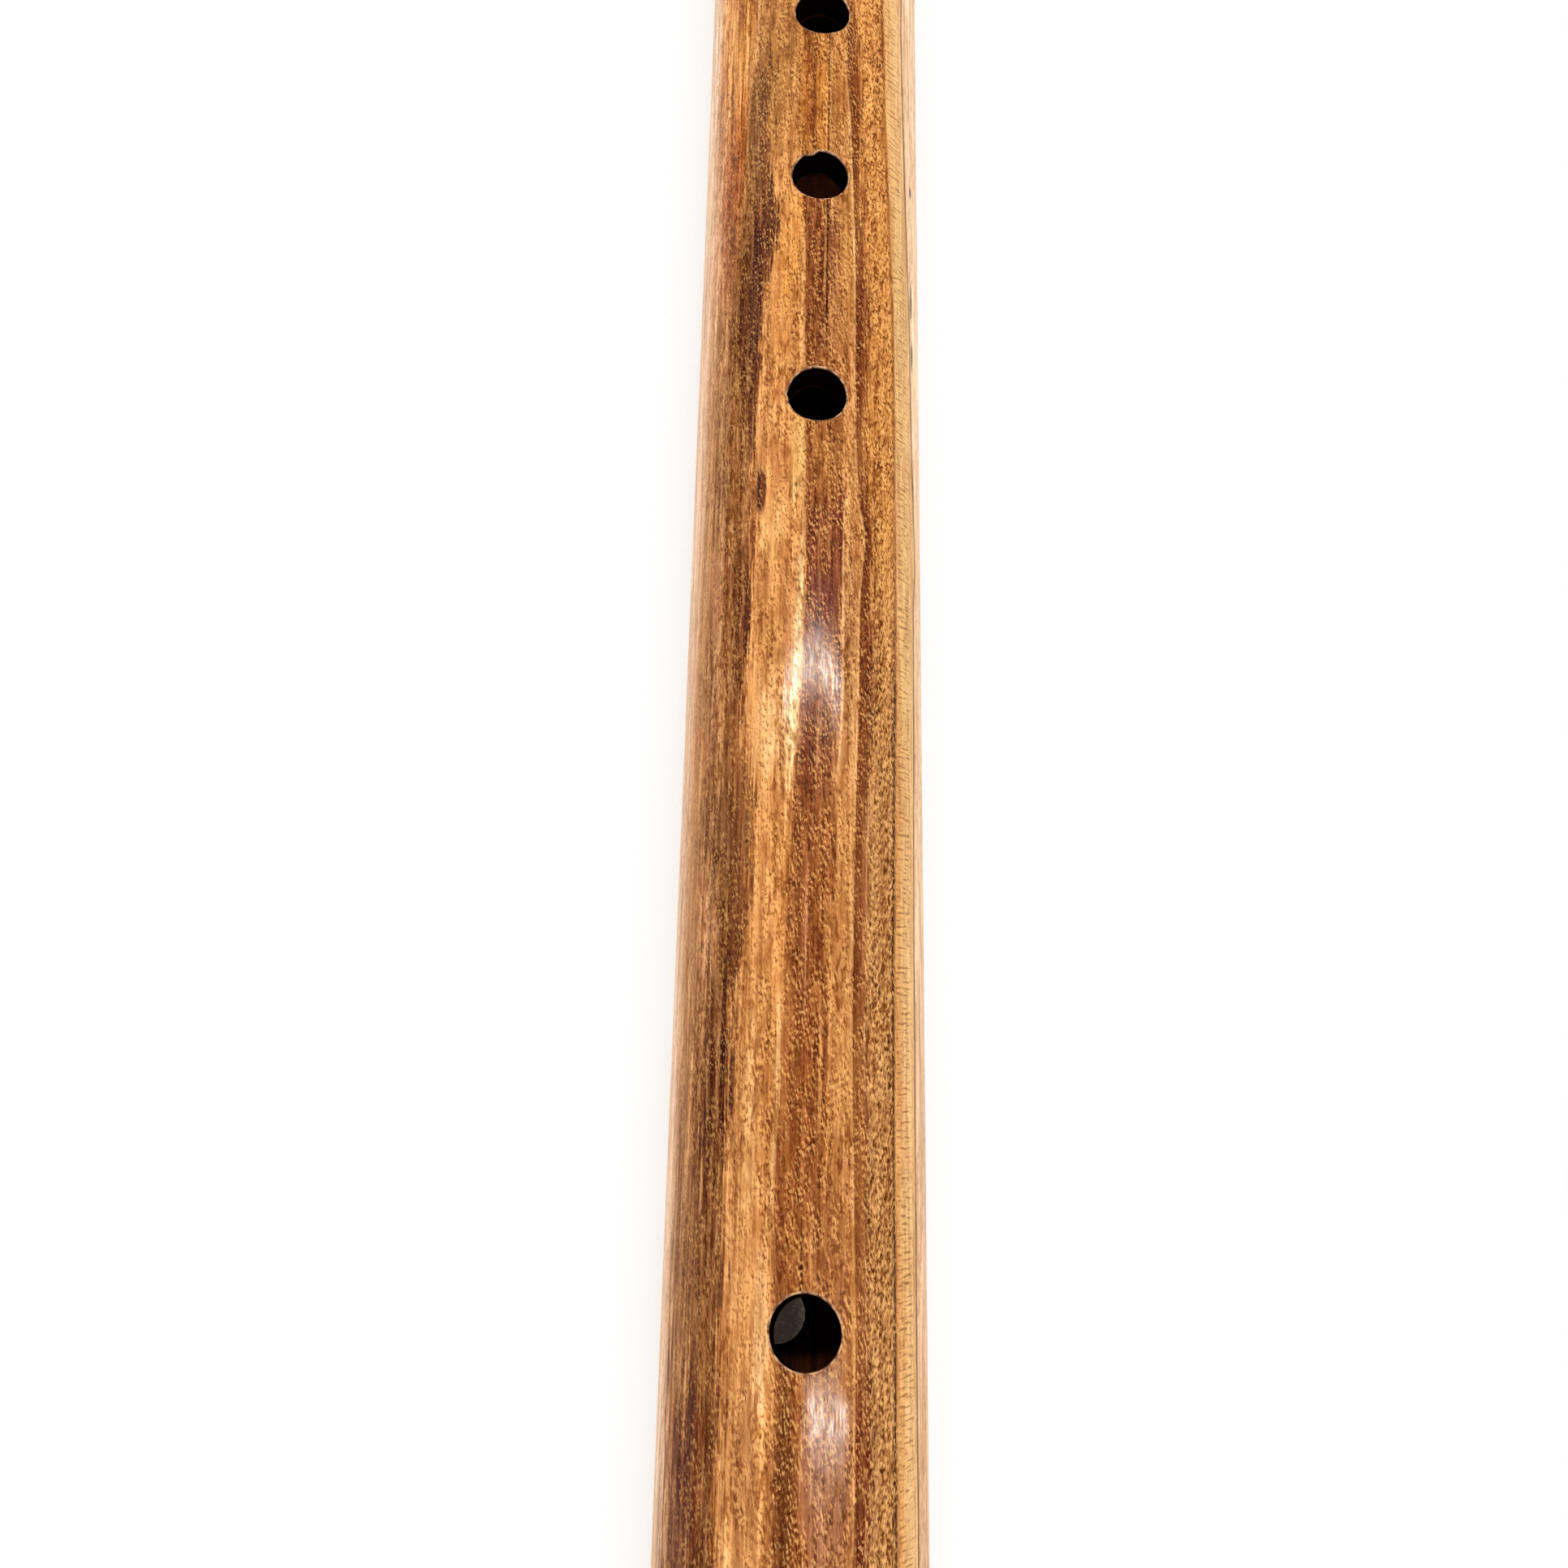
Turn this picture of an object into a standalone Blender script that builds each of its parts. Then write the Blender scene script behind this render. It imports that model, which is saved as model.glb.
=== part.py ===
"""A wooden didgeridoo with finger holes, lying on the floor with the finger holes up.

Metres, +Z up, mouth end towards -X, bell towards +X. The wooden tube is two hollowed
half shells glued along a seam on either side, and a moulded beeswax ring sits on its mouth.
The pieces are turned about their own Z axis, mouth at z = 0, with -X as the finger side,
and hang from one empty that lays the tube down on its bell rim and its wax ring.
"""

import math

import bmesh
import bpy

# Wooden tube
TUBE_LENGTH = 1.200
BODY_RADIUS = 0.0205
BORE_RADIUS = 0.0140
BELL_RADIUS = 0.0300
BELL_WALL = 0.0055
FLARE_LENGTH = 0.300
FLARE_POWER = 2.0
RIM_ROUND = 0.0010

# Holes, measured along the tube from its mouth
FINGER_HOLE_DIAMETER = 0.0100
UPPER_HOLE_FROM_MOUTH = 0.430
HAND_SPACING = 0.147
LOWER_SPACING_1 = 0.044
LOWER_SPACING_2 = 0.036
UPPER_HOLE_LEAN_ACROSS = math.radians(10.5)
UPPER_HOLE_LEAN_ALONG = math.radians(12.0)
THUMB_HOLE_DIAMETER = 0.0095
THUMB_HOLE_BEHIND_UPPER = 0.004
THUMB_HOLE_TURN = math.radians(4.0)

# Beeswax mouthpiece
WAX_SKIRT_LENGTH = 0.009
WAX_SKIRT_THICKNESS = 0.0025
WAX_SKIRT_EDGE = 0.0006
WAX_LIP_HEIGHT = 0.009
WAX_OPENING_RADIUS = 0.0135

# Fits
GLUE_LINE = 0.0003
WAX_CLEARANCE = 0.0003

# Fineness of the facets
TURN_STEPS = 64
RING_SPACING = 0.100
FLARE_RINGS = 10
CORNER_STEPS = 3
LIP_STEPS = 10
DRILL_STEPS = 32
MERGE_DISTANCE = 0.00001

# Worked out from the sizes above
FLARE_START = TUBE_LENGTH - FLARE_LENGTH
BELL_BORE_RADIUS = BELL_RADIUS - BELL_WALL
WAX_RADIUS = BODY_RADIUS + WAX_SKIRT_THICKNESS
WAX_SEAT_RADIUS = BODY_RADIUS + WAX_CLEARANCE
FACET = math.cos(math.pi / TURN_STEPS)
TILT = math.atan2((BELL_RADIUS - WAX_RADIUS) * FACET, TUBE_LENGTH - RIM_ROUND)
LIP_REACH = WAX_CLEARANCE + WAX_LIP_HEIGHT
LOWER_HOLE_1 = UPPER_HOLE_FROM_MOUTH + HAND_SPACING
LOWER_HOLE_2 = LOWER_HOLE_1 + LOWER_SPACING_1
LOWER_HOLE_3 = LOWER_HOLE_2 + LOWER_SPACING_2

WOOD_COLOUR = (0.52, 0.30, 0.13, 1.0)
WOOD_ROUGHNESS = 0.35
WAX_COLOUR = (0.45, 0.24, 0.07, 1.0)
WAX_ROUGHNESS = 0.55


def flare(z):
    """How far the bell has opened at a station along the tube, 0 to 1."""
    return (max(0.0, z - FLARE_START) / FLARE_LENGTH) ** FLARE_POWER


def outer_radius(z):
    """Outside radius of the wood at a station along the tube."""
    return BODY_RADIUS + (BELL_RADIUS - BODY_RADIUS) * flare(z)


def bore_radius(z):
    """Bore radius at a station along the tube."""
    return BORE_RADIUS + (BELL_BORE_RADIUS - BORE_RADIUS) * flare(z)


def corner(radius, z, start):
    """Quarter arc of a rounded rim about (radius, z), running clockwise from a start angle."""
    turns = [start - math.pi / 2 * step / CORNER_STEPS for step in range(CORNER_STEPS + 1)]
    return [(radius + RIM_ROUND * math.cos(t), z + RIM_ROUND * math.sin(t)) for t in turns]


def stations():
    """Stations of the rings between the rims: wide apart on the straight body, close on the flare."""
    straight = int(FLARE_START / RING_SPACING)
    body = [FLARE_START * step / straight for step in range(1, straight + 1)]
    bell = [FLARE_START + FLARE_LENGTH * step / FLARE_RINGS for step in range(1, FLARE_RINGS)]
    return body + bell


def tube_profile():
    """Closed outline of the tube's wall: down the outside, round the mouth, up the bore, round the bell."""
    rings = stations()
    bell_z = TUBE_LENGTH - RIM_ROUND
    outside = [(outer_radius(z), z) for z in reversed(rings)]
    mouth = corner(BODY_RADIUS - RIM_ROUND, RIM_ROUND, 0.0)
    mouth += corner(BORE_RADIUS + RIM_ROUND, RIM_ROUND, -math.pi / 2)
    bore = [(bore_radius(z), z) for z in rings]
    bell = corner(BELL_BORE_RADIUS + RIM_ROUND, bell_z, math.pi)
    bell += corner(BELL_RADIUS - RIM_ROUND, bell_z, math.pi / 2)
    return outside + mouth + bore + bell


def wax_profile():
    """Closed outline of the wax ring: down its skirt, round its lip, back across the rim it sits on."""
    middle = (WAX_RADIUS + WAX_OPENING_RADIUS) / 2
    half = (WAX_RADIUS - WAX_OPENING_RADIUS) / 2
    turns = [math.pi * step / LIP_STEPS for step in range(LIP_STEPS + 1)]
    skirt = [(WAX_SEAT_RADIUS + WAX_SKIRT_EDGE, WAX_SKIRT_LENGTH), (WAX_RADIUS, WAX_SKIRT_LENGTH / 2)]
    lip = [(middle + half * math.cos(t), -WAX_CLEARANCE - WAX_LIP_HEIGHT * math.sin(t)) for t in turns]
    seat = [(WAX_SEAT_RADIUS, -WAX_CLEARANCE), (WAX_SEAT_RADIUS, WAX_SKIRT_LENGTH)]
    return skirt + lip + seat


def collection(name):
    """A new collection linked to the scene."""
    made = bpy.data.collections.new(name)
    bpy.context.scene.collection.children.link(made)
    return made


def material(name, colour, roughness):
    """A plain Principled material."""
    made = bpy.data.materials.new(name)
    made.use_nodes = True
    shader = made.node_tree.nodes["Principled BSDF"]
    shader.inputs["Base Color"].default_value = colour
    shader.inputs["Roughness"].default_value = roughness
    return made


def add_object(name, mesh, group, parent):
    """An object for a mesh, in a collection and hung from the tube's empty."""
    made = bpy.data.objects.new(name, mesh)
    group.objects.link(made)
    made.parent = parent
    return made


def turned(name, profile, group, parent, finish):
    """A ring turned from a closed outline, with a facet and not an edge facing up and down."""
    half_step = math.pi / TURN_STEPS
    points = [(r * math.cos(half_step), r * math.sin(half_step), z) for r, z in profile]
    edges = [(i, (i + 1) % len(points)) for i in range(len(points))]
    mesh = bpy.data.meshes.new(name)
    mesh.from_pydata(points, edges, [])
    mesh.materials.append(finish)
    made = add_object(name, mesh, group, parent)
    turn = made.modifiers.new("turn", "SCREW")
    turn.axis = "Z"
    turn.steps = turn.render_steps = TURN_STEPS
    turn.use_merge_vertices = True
    turn.merge_threshold = MERGE_DISTANCE
    turn.use_smooth_shade = False
    return made


def cutter(name, mesh, group, parent):
    """An object that only cuts others."""
    made = add_object(name, mesh, group, parent)
    made.display_type = "WIRE"
    made.hide_render = True
    return made


def cut(target, tool):
    """Cut a tool out of a piece."""
    boolean = target.modifiers.new(tool.name, "BOOLEAN")
    boolean.operation = "DIFFERENCE"
    boolean.solver = "EXACT"
    boolean.object = tool


def half_space(name, side, group, parent):
    """Box that takes the tube away on one side (+1 or -1 along X), up to half the glue line past the axis."""
    size = 4 * BELL_RADIUS
    mesh = bpy.data.meshes.new(name)
    shape = bmesh.new()
    bmesh.ops.create_cube(shape, size=1.0)
    bmesh.ops.scale(shape, vec=(size, size, 2 * TUBE_LENGTH), verts=shape.verts)
    shape.to_mesh(mesh)
    shape.free()
    made = cutter(name, mesh, group, parent)
    made.location = (side * (size - GLUE_LINE) / 2, 0.0, TUBE_LENGTH / 2)
    return made


def drill(name, diameter, group, parent):
    """Drill that reaches from the tube's axis out past the wall along its own +Z."""
    length = 2 * BODY_RADIUS
    mesh = bpy.data.meshes.new(name)
    shape = bmesh.new()
    bmesh.ops.create_cone(
        shape, cap_ends=True, segments=DRILL_STEPS, radius1=diameter / 2, radius2=diameter / 2, depth=length
    )
    bmesh.ops.translate(shape, vec=(0.0, 0.0, length / 2), verts=shape.verts)
    shape.to_mesh(mesh)
    shape.free()
    return cutter(name, mesh, group, parent)


def finger_drill(name, from_mouth, group, parent):
    """Drill square to the tube on the finger side."""
    made = drill(name, FINGER_HOLE_DIAMETER, group, parent)
    made.location = (0.0, 0.0, from_mouth)
    made.rotation_euler = (0.0, -math.pi / 2, 0.0)
    return made


def slanted_drill(name, group, parent):
    """Drill for the upper finger hole, leaning about the point where it meets the outside of the tube."""
    made = drill(name, FINGER_HOLE_DIAMETER, group, parent)
    across = BODY_RADIUS * math.tan(UPPER_HOLE_LEAN_ACROSS)
    along = BODY_RADIUS * math.tan(UPPER_HOLE_LEAN_ALONG)
    made.location = (0.0, -across, UPPER_HOLE_FROM_MOUTH - along)
    made.rotation_euler = (-UPPER_HOLE_LEAN_ACROSS, -math.pi / 2 + UPPER_HOLE_LEAN_ALONG, 0.0)
    return made


def thumb_drill(name, group, parent):
    """Drill on the far side of the tube for the thumb."""
    made = drill(name, THUMB_HOLE_DIAMETER, group, parent)
    made.location = (0.0, 0.0, UPPER_HOLE_FROM_MOUTH - THUMB_HOLE_BEHIND_UPPER)
    made.rotation_euler = (0.0, math.pi / 2, THUMB_HOLE_TURN)
    return made


def lay_down():
    """Empty at the tube's mouth that lays the tube along X with its bell rim and wax ring on the floor."""
    made = bpy.data.objects.new("tube_axis", None)
    bpy.context.scene.collection.objects.link(made)
    made.location = (
        -(TUBE_LENGTH - LIP_REACH) / 2 * math.cos(TILT),
        0.0,
        WAX_RADIUS * FACET * math.cos(TILT),
    )
    made.rotation_euler = (0.0, math.pi / 2 - TILT, 0.0)
    return made


def build():
    """Build the whole instrument."""
    for old in list(bpy.data.objects):
        bpy.data.objects.remove(old)
    pieces = collection("didgeridoo")
    tools = collection("cutters")
    axis = lay_down()
    wood = material("varnished_wood", WOOD_COLOUR, WOOD_ROUGHNESS)
    wax = material("beeswax", WAX_COLOUR, WAX_ROUGHNESS)

    front = turned("front_half_shell", tube_profile(), pieces, axis, wood)
    cut(front, half_space("cut_back_side", 1, tools, axis))
    cut(front, slanted_drill("drill_upper_finger", tools, axis))
    cut(front, finger_drill("drill_lower_finger_1", LOWER_HOLE_1, tools, axis))
    cut(front, finger_drill("drill_lower_finger_2", LOWER_HOLE_2, tools, axis))
    cut(front, finger_drill("drill_lower_finger_3", LOWER_HOLE_3, tools, axis))

    back = turned("back_half_shell", tube_profile(), pieces, axis, wood)
    cut(back, half_space("cut_front_side", -1, tools, axis))
    cut(back, thumb_drill("drill_thumb", tools, axis))

    turned("beeswax_mouthpiece", wax_profile(), pieces, axis, wax)


build()
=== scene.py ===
"""Looks of the didgeridoo with finger holes: turned wooden shells, drilled holes, a wax mouthpiece.

Every length is in metres unless a name says otherwise. The tube's own frame has X along the tube
from its mouth, Y across and Z out of the finger holes, and TubeShape lays that frame on the floor.
On the wood, a place is given by its turn round the tube in degrees from the line of finger holes,
positive towards -Y, and by millimetres along the tube from the first lower finger hole.
"""

import logging
import math
from collections.abc import Callable, Sequence
from dataclasses import dataclass, field
from enum import IntEnum
from typing import ClassVar

import bmesh
import bpy
from mathutils import Matrix, Vector, noise


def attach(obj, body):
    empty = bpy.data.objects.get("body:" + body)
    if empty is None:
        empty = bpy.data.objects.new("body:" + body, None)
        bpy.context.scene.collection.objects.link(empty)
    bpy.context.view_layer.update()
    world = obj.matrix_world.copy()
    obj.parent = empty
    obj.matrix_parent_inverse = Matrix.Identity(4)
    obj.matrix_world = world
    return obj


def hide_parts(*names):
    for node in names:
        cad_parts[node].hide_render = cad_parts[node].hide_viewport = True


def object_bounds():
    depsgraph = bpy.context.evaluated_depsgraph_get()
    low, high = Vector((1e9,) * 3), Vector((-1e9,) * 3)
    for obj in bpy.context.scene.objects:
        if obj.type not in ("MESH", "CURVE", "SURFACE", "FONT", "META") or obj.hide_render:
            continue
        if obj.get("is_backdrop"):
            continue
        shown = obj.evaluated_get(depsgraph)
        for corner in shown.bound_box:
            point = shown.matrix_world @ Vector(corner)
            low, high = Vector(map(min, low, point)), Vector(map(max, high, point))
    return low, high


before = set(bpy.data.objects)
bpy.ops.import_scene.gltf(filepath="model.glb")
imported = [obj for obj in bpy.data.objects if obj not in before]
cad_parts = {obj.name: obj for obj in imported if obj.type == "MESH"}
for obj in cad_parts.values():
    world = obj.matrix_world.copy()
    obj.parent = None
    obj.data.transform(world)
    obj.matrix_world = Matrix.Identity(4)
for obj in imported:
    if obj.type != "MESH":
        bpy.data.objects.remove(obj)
cad_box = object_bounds()

log = logging.getLogger("didgeridoo")

Colour = tuple[float, float, float, float]
Path2 = tuple[tuple[float, float], ...]
Socket = bpy.types.NodeSocket
Feed = Socket | float | tuple[float, ...]

WHITE: Colour = (1.0, 1.0, 1.0, 1.0)
WARM = (1.0, 0.94, 0.86)
SHARP_ANGLE = math.radians(50.0)
WELD = 1e-7
HAIR = 1e-6

# Stretch of the tube for which the wood's figure is drawn, from the first lower finger hole.
FIGURE_MM = (-175.0, 85.0)


def tone(red: int, green: int, blue: int) -> Colour:
    """Turn a colour as seen on a screen, 0 to 255, into the linear colour a shader takes.

    Args:
        red: Red as seen.
        green: Green as seen.
        blue: Blue as seen.

    Returns:
        The linear colour with full alpha.
    """

    def linear(value: int) -> float:
        """Undo the screen's curve for one channel."""
        part = value / 255
        return part / 12.92 if part <= 0.04045 else ((part + 0.055) / 1.055) ** 2.4

    return (linear(red), linear(green), linear(blue), 1.0)


class Side(IntEnum):
    """Which half of the split tube a shell is."""

    FINGER = 1
    THUMB = -1


class Zone(IntEnum):
    """Parts of a shell's surface, as places in its list of materials."""

    SKIN = 0
    BORE = 1
    END = 2
    EDGE = 3


@dataclass(frozen=True)
class TubeShape:
    """Sizes of the wooden tube and how it lies on the floor."""

    length: float = 1.200
    body_radius: float = 0.0205
    bore_radius: float = 0.0140
    bell_radius: float = 0.0300
    bell_wall: float = 0.0055
    flare_length: float = 0.300
    flare_power: float = 2.0
    wax_skirt: float = 0.0025
    wax_reach: float = 0.0093
    rest_line: float = 1.199
    first_lower_hole: float = 0.577

    def flare(self, station: float) -> float:
        """How far the bell has opened at a station, 0 to 1."""
        start = self.length - self.flare_length
        return (max(0.0, station - start) / self.flare_length) ** self.flare_power

    def outer(self, station: float) -> float:
        """Outside radius at a station along the tube."""
        return self.body_radius + (self.bell_radius - self.body_radius) * self.flare(station)

    def bore(self, station: float) -> float:
        """Bore radius at a station along the tube."""
        bell_bore = self.bell_radius - self.bell_wall
        return self.bore_radius + (bell_bore - self.bore_radius) * self.flare(station)

    @property
    def wax_radius(self) -> float:
        """Outside radius of the wax ring."""
        return self.body_radius + self.wax_skirt

    @property
    def tilt(self) -> float:
        """Angle by which the axis rises towards the bell when bell rim and wax ring touch the floor."""
        return math.atan2(self.bell_radius - self.wax_radius, self.rest_line)

    @property
    def mouth(self) -> Vector:
        """Where the middle of the wooden mouth rim lies in the scene."""
        half = (self.length - self.wax_reach) / 2
        return Vector((-half * math.cos(self.tilt), 0.0, self.wax_radius * math.cos(self.tilt)))

    @property
    def lay(self) -> Matrix:
        """Transform from the tube's own frame to the scene."""
        return Matrix.Translation(self.mouth) @ Matrix.Rotation(-self.tilt, 4, "Y")


TUBE = TubeShape()


class Graph:
    """A material's node tree, with short ways to add and wire the nodes used here."""

    def __init__(self, material: bpy.types.Material) -> None:
        """Clear the material's tree and start with an output and a Principled shader.

        Args:
            material: The material whose tree is built.
        """
        material.use_nodes = True
        self.material = material
        self.tree = material.node_tree
        self.tree.nodes.clear()
        self.output = self.add("ShaderNodeOutputMaterial")
        self.shader = self.add("ShaderNodeBsdfPrincipled")
        self.wire(self.shader.outputs["BSDF"], self.output.inputs["Surface"])

    @classmethod
    def of_tree(cls, tree: bpy.types.ShaderNodeTree) -> "Graph":
        """Work on a bare node group instead of a material.

        Args:
            tree: The group's tree.

        Returns:
            A graph with no output and no shader of its own.
        """
        graph = cls.__new__(cls)
        graph.tree = tree
        return graph

    def add(self, kind: str, **settings: object) -> bpy.types.Node:
        """Add a node and set its properties.

        Args:
            kind: Blender's name for the node type.
            **settings: Properties to set on it.

        Returns:
            The new node.
        """
        node = self.tree.nodes.new(kind)
        for name, value in settings.items():
            setattr(node, name, value)
        return node

    def wire(self, value: Feed, socket: Socket) -> None:
        """Link an output to an input, or set the input to a constant."""
        if isinstance(value, Socket):
            self.tree.links.new(value, socket)
        else:
            socket.default_value = value

    def into(self, name: str, value: Socket) -> None:
        """Link a pattern to one of the shader's inputs."""
        self.wire(value, self.shader.inputs[name])

    def constants(self, values: dict[str, float | tuple[float, ...]]) -> None:
        """Set what is the same all over the surface on the shader's own sockets."""
        for name, value in values.items():
            self.wire(value, self.shader.inputs[name])

    def math(self, operation: str, *values: Feed) -> Socket:
        """Combine numbers with a Math node.

        Args:
            operation: Blender's name for the operation.
            *values: Up to three inputs.

        Returns:
            The result.
        """
        node = self.add("ShaderNodeMath", operation=operation)
        for value, socket in zip(values, node.inputs):
            self.wire(value, socket)
        return node.outputs[0]

    def step(self, value: Feed, low: Feed, high: Feed) -> Socket:
        """Rise smoothly from 0 to 1 as a value goes from low to high."""
        node = self.add("ShaderNodeMapRange", interpolation_type="SMOOTHSTEP")
        for feed, name in ((value, "Value"), (low, "From Min"), (high, "From Max")):
            self.wire(feed, node.inputs[name])
        return node.outputs["Result"]

    def span(self, value: Feed, low: float, high: float, to_low: float, to_high: float) -> Socket:
        """Map a value in a straight line from one range to another, held at its ends."""
        node = self.add("ShaderNodeMapRange", clamp=True)
        for feed, name in (
            (value, "Value"),
            (low, "From Min"),
            (high, "From Max"),
            (to_low, "To Min"),
            (to_high, "To Max"),
        ):
            self.wire(feed, node.inputs[name])
        return node.outputs["Result"]

    def blend(self, share: Feed, below: Feed, above: Feed, mode: str = "MIX") -> Socket:
        """Lay one colour over another.

        Args:
            share: How much of the upper colour shows.
            below: The colour underneath.
            above: The colour on top.
            mode: Blender's name for the way they mix.

        Returns:
            The mixed colour.
        """
        node = self.add("ShaderNodeMix", data_type="RGBA", blend_type=mode, clamp_factor=True)
        for feed, socket in ((share, node.inputs[0]), (below, node.inputs[6]), (above, node.inputs[7])):
            self.wire(feed, socket)
        return node.outputs[2]

    def vector(self, x: Feed, y: Feed, z: Feed) -> Socket:
        """Join three numbers into a vector."""
        node = self.add("ShaderNodeCombineXYZ")
        for feed, socket in zip((x, y, z), node.inputs):
            self.wire(feed, socket)
        return node.outputs[0]

    def stretch(
        self,
        vector: Socket,
        scale: tuple[float, float, float],
        turn: float = 0.0,
        shift: float = 0.0,
    ) -> Socket:
        """Scale a vector along each of its axes.

        Args:
            vector: The vector.
            scale: Factor for each axis.
            turn: Angle by which it is then turned about the third axis.
            shift: How far it is then moved along the first axis.

        Returns:
            The scaled vector.
        """
        node = self.add("ShaderNodeMapping", vector_type="POINT")
        self.wire(vector, node.inputs["Vector"])
        node.inputs["Scale"].default_value = scale
        node.inputs["Rotation"].default_value = (0.0, 0.0, turn)
        node.inputs["Location"].default_value = (shift, 0.0, 0.0)
        return node.outputs["Vector"]

    def noise(
        self, vector: Socket, detail: float = 2.0, rough: float = 0.5, warp: float = 0.0
    ) -> Socket:
        """Soft noise about 0.5, one lump per unit of the vector.

        Args:
            vector: Where to read the noise.
            detail: Number of finer layers.
            rough: Strength of the finer layers.
            warp: How far the noise twists itself.

        Returns:
            The noise value.
        """
        node = self.add("ShaderNodeTexNoise", noise_dimensions="3D")
        self.wire(vector, node.inputs["Vector"])
        node.inputs["Scale"].default_value = 1.0
        node.inputs["Detail"].default_value = detail
        node.inputs["Roughness"].default_value = rough
        node.inputs["Distortion"].default_value = warp
        return node.outputs["Fac"]

    def wave(self, value: Socket) -> Socket:
        """Soft noise about 0.5 along one line, one lump per unit of the value."""
        node = self.add("ShaderNodeTexNoise", noise_dimensions="1D")
        self.wire(value, node.inputs["W"])
        node.inputs["Scale"].default_value = 1.0
        node.inputs["Detail"].default_value = 1.0
        return node.outputs["Fac"]

    def curve(self, value: Feed, points: Path2) -> Socket:
        """Read a drawn curve.

        Args:
            value: Where to read it, between 0 and 1.
            points: The curve's points, from left to right, with both numbers between 0 and 1.

        Returns:
            The curve's height.
        """
        node = self.add("ShaderNodeFloatCurve")
        drawn = node.mapping.curves[0]
        drawn.points[0].location = points[0]
        drawn.points[1].location = points[-1]
        for place in points[1:-1]:
            drawn.points.new(*place)
        for point in drawn.points:
            point.handle_type = "AUTO_CLAMPED"
        node.mapping.update()
        self.wire(value, node.inputs["Value"])
        return node.outputs["Value"]

    def bump(self, height: Feed, depth: float, *sockets: str) -> None:
        """Raise the shader's surface by a height pattern.

        Args:
            height: The pattern, 0 to 1.
            depth: How far a height of 1 stands out.
            *sockets: The shader's inputs that take it, its normal if none is named.
        """
        node = self.add("ShaderNodeBump")
        node.inputs["Distance"].default_value = depth
        self.wire(height, node.inputs["Height"])
        for name in sockets or ("Normal",):
            self.into(name, node.outputs["Normal"])


@dataclass
class TubeCoordinates:
    """Where a point of the wood lies on the tube, read from Object coordinates."""

    mm_per_m: ClassVar[float] = 1000.0

    graph: Graph
    place: Socket = field(init=False)
    along_mm: Socket = field(init=False)
    turn_deg: Socket = field(init=False)
    radius: Socket = field(init=False)
    facing: Socket = field(init=False)

    def __post_init__(self) -> None:
        """Lay the tube's own frame over the object's and work out turn, distance and radius."""
        graph = self.graph
        source = graph.add("ShaderNodeTexCoord")
        frame_of_tube = graph.add("ShaderNodeMapping", vector_type="TEXTURE")
        frame_of_tube.inputs["Location"].default_value = TUBE.mouth
        frame_of_tube.inputs["Rotation"].default_value = (0.0, -TUBE.tilt, 0.0)
        graph.wire(source.outputs["Object"], frame_of_tube.inputs["Vector"])
        self.place = frame_of_tube.outputs["Vector"]
        parts = graph.add("ShaderNodeSeparateXYZ")
        graph.wire(self.place, parts.inputs[0])
        x, y, z = parts.outputs
        start_mm = self.mm_per_m * TUBE.first_lower_hole
        self.along_mm = graph.math("MULTIPLY_ADD", x, self.mm_per_m, -start_mm)
        squares = graph.math("MULTIPLY_ADD", y, y, graph.math("MULTIPLY", z, z))
        self.radius = graph.math("SQRT", squares)
        right = graph.math("DIVIDE", graph.math("MULTIPLY", y, -1.0), self.radius)
        self.turn_deg = graph.math("DEGREES", graph.math("ARCSINE", right))
        self.facing = graph.math("DIVIDE", z, self.radius)

    def grain(
        self, width_mm: float, length_mm: float, lean: float = 0.0, reach_mm: float = 0.0
    ) -> Socket:
        """Vector for a noise whose lumps are long with the grain.

        Args:
            width_mm: Size of a lump across the grain.
            length_mm: Size of a lump along the grain.
            lean: Angle by which the lumps slant.
            reach_mm: How far the noise is moved along the grain.

        Returns:
            The vector.
        """
        across = self.mm_per_m / width_mm
        scale = (self.mm_per_m / length_mm, across, across)
        return self.graph.stretch(self.place, scale, lean, reach_mm / length_mm)


def started(name: str) -> tuple[Graph, TubeCoordinates]:
    """Start a finish: a new material's node tree, and the places on the tube that it reads."""
    graph = Graph(bpy.data.materials.new(name))
    return graph, TubeCoordinates(graph)


@dataclass(frozen=True)
class Streak:
    """One band of colour in the figure of the wood, between two edges that wander along the tube."""

    name: str
    colour: Colour
    left: Path2
    right: Path2
    strength: Path2
    left_soft: float = 1.0
    right_soft: float = 1.0
    left_fray: float = 1.0
    right_fray: float = 1.0
    gaps: float = 0.3


@dataclass(frozen=True)
class RingLine:
    """A thin line where two growth rings meet the surface, fading to each side; one is a broad band of
    painted highlight instead.
    """

    name: str
    colour: Colour
    path: Path2
    strength: Path2
    fade_left: float
    fade_right: float


@dataclass(frozen=True)
class Mark:
    """One small patch in the figure: a knot, a fleck, a stain, a fine dark hair, or a patch of painted
    highlight.
    """

    name: str
    colour: Colour
    turn: float
    along: float
    half_turn: float
    half_along: float
    strength: float
    soft: float = 0.45
    fray: float = 0.6


@dataclass(frozen=True)
class Pores:
    """One kind of fine pore: its size and slant, and how steep its relief is where its specks of painted
    highlight and shade show.
    """

    width_mm: float
    length_mm: float
    lean: float
    reach_mm: float
    low: float
    high: float
    share: float = 1.0


def level(height: float) -> Path2:
    """A path that keeps one height all along the drawn figure."""
    start, end = FIGURE_MM
    return ((start, height), (end, height))


def beside(path: Path2, turn: float) -> Path2:
    """The same path moved round the tube by some degrees."""
    return tuple((along, angle + turn) for along, angle in path)


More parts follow.
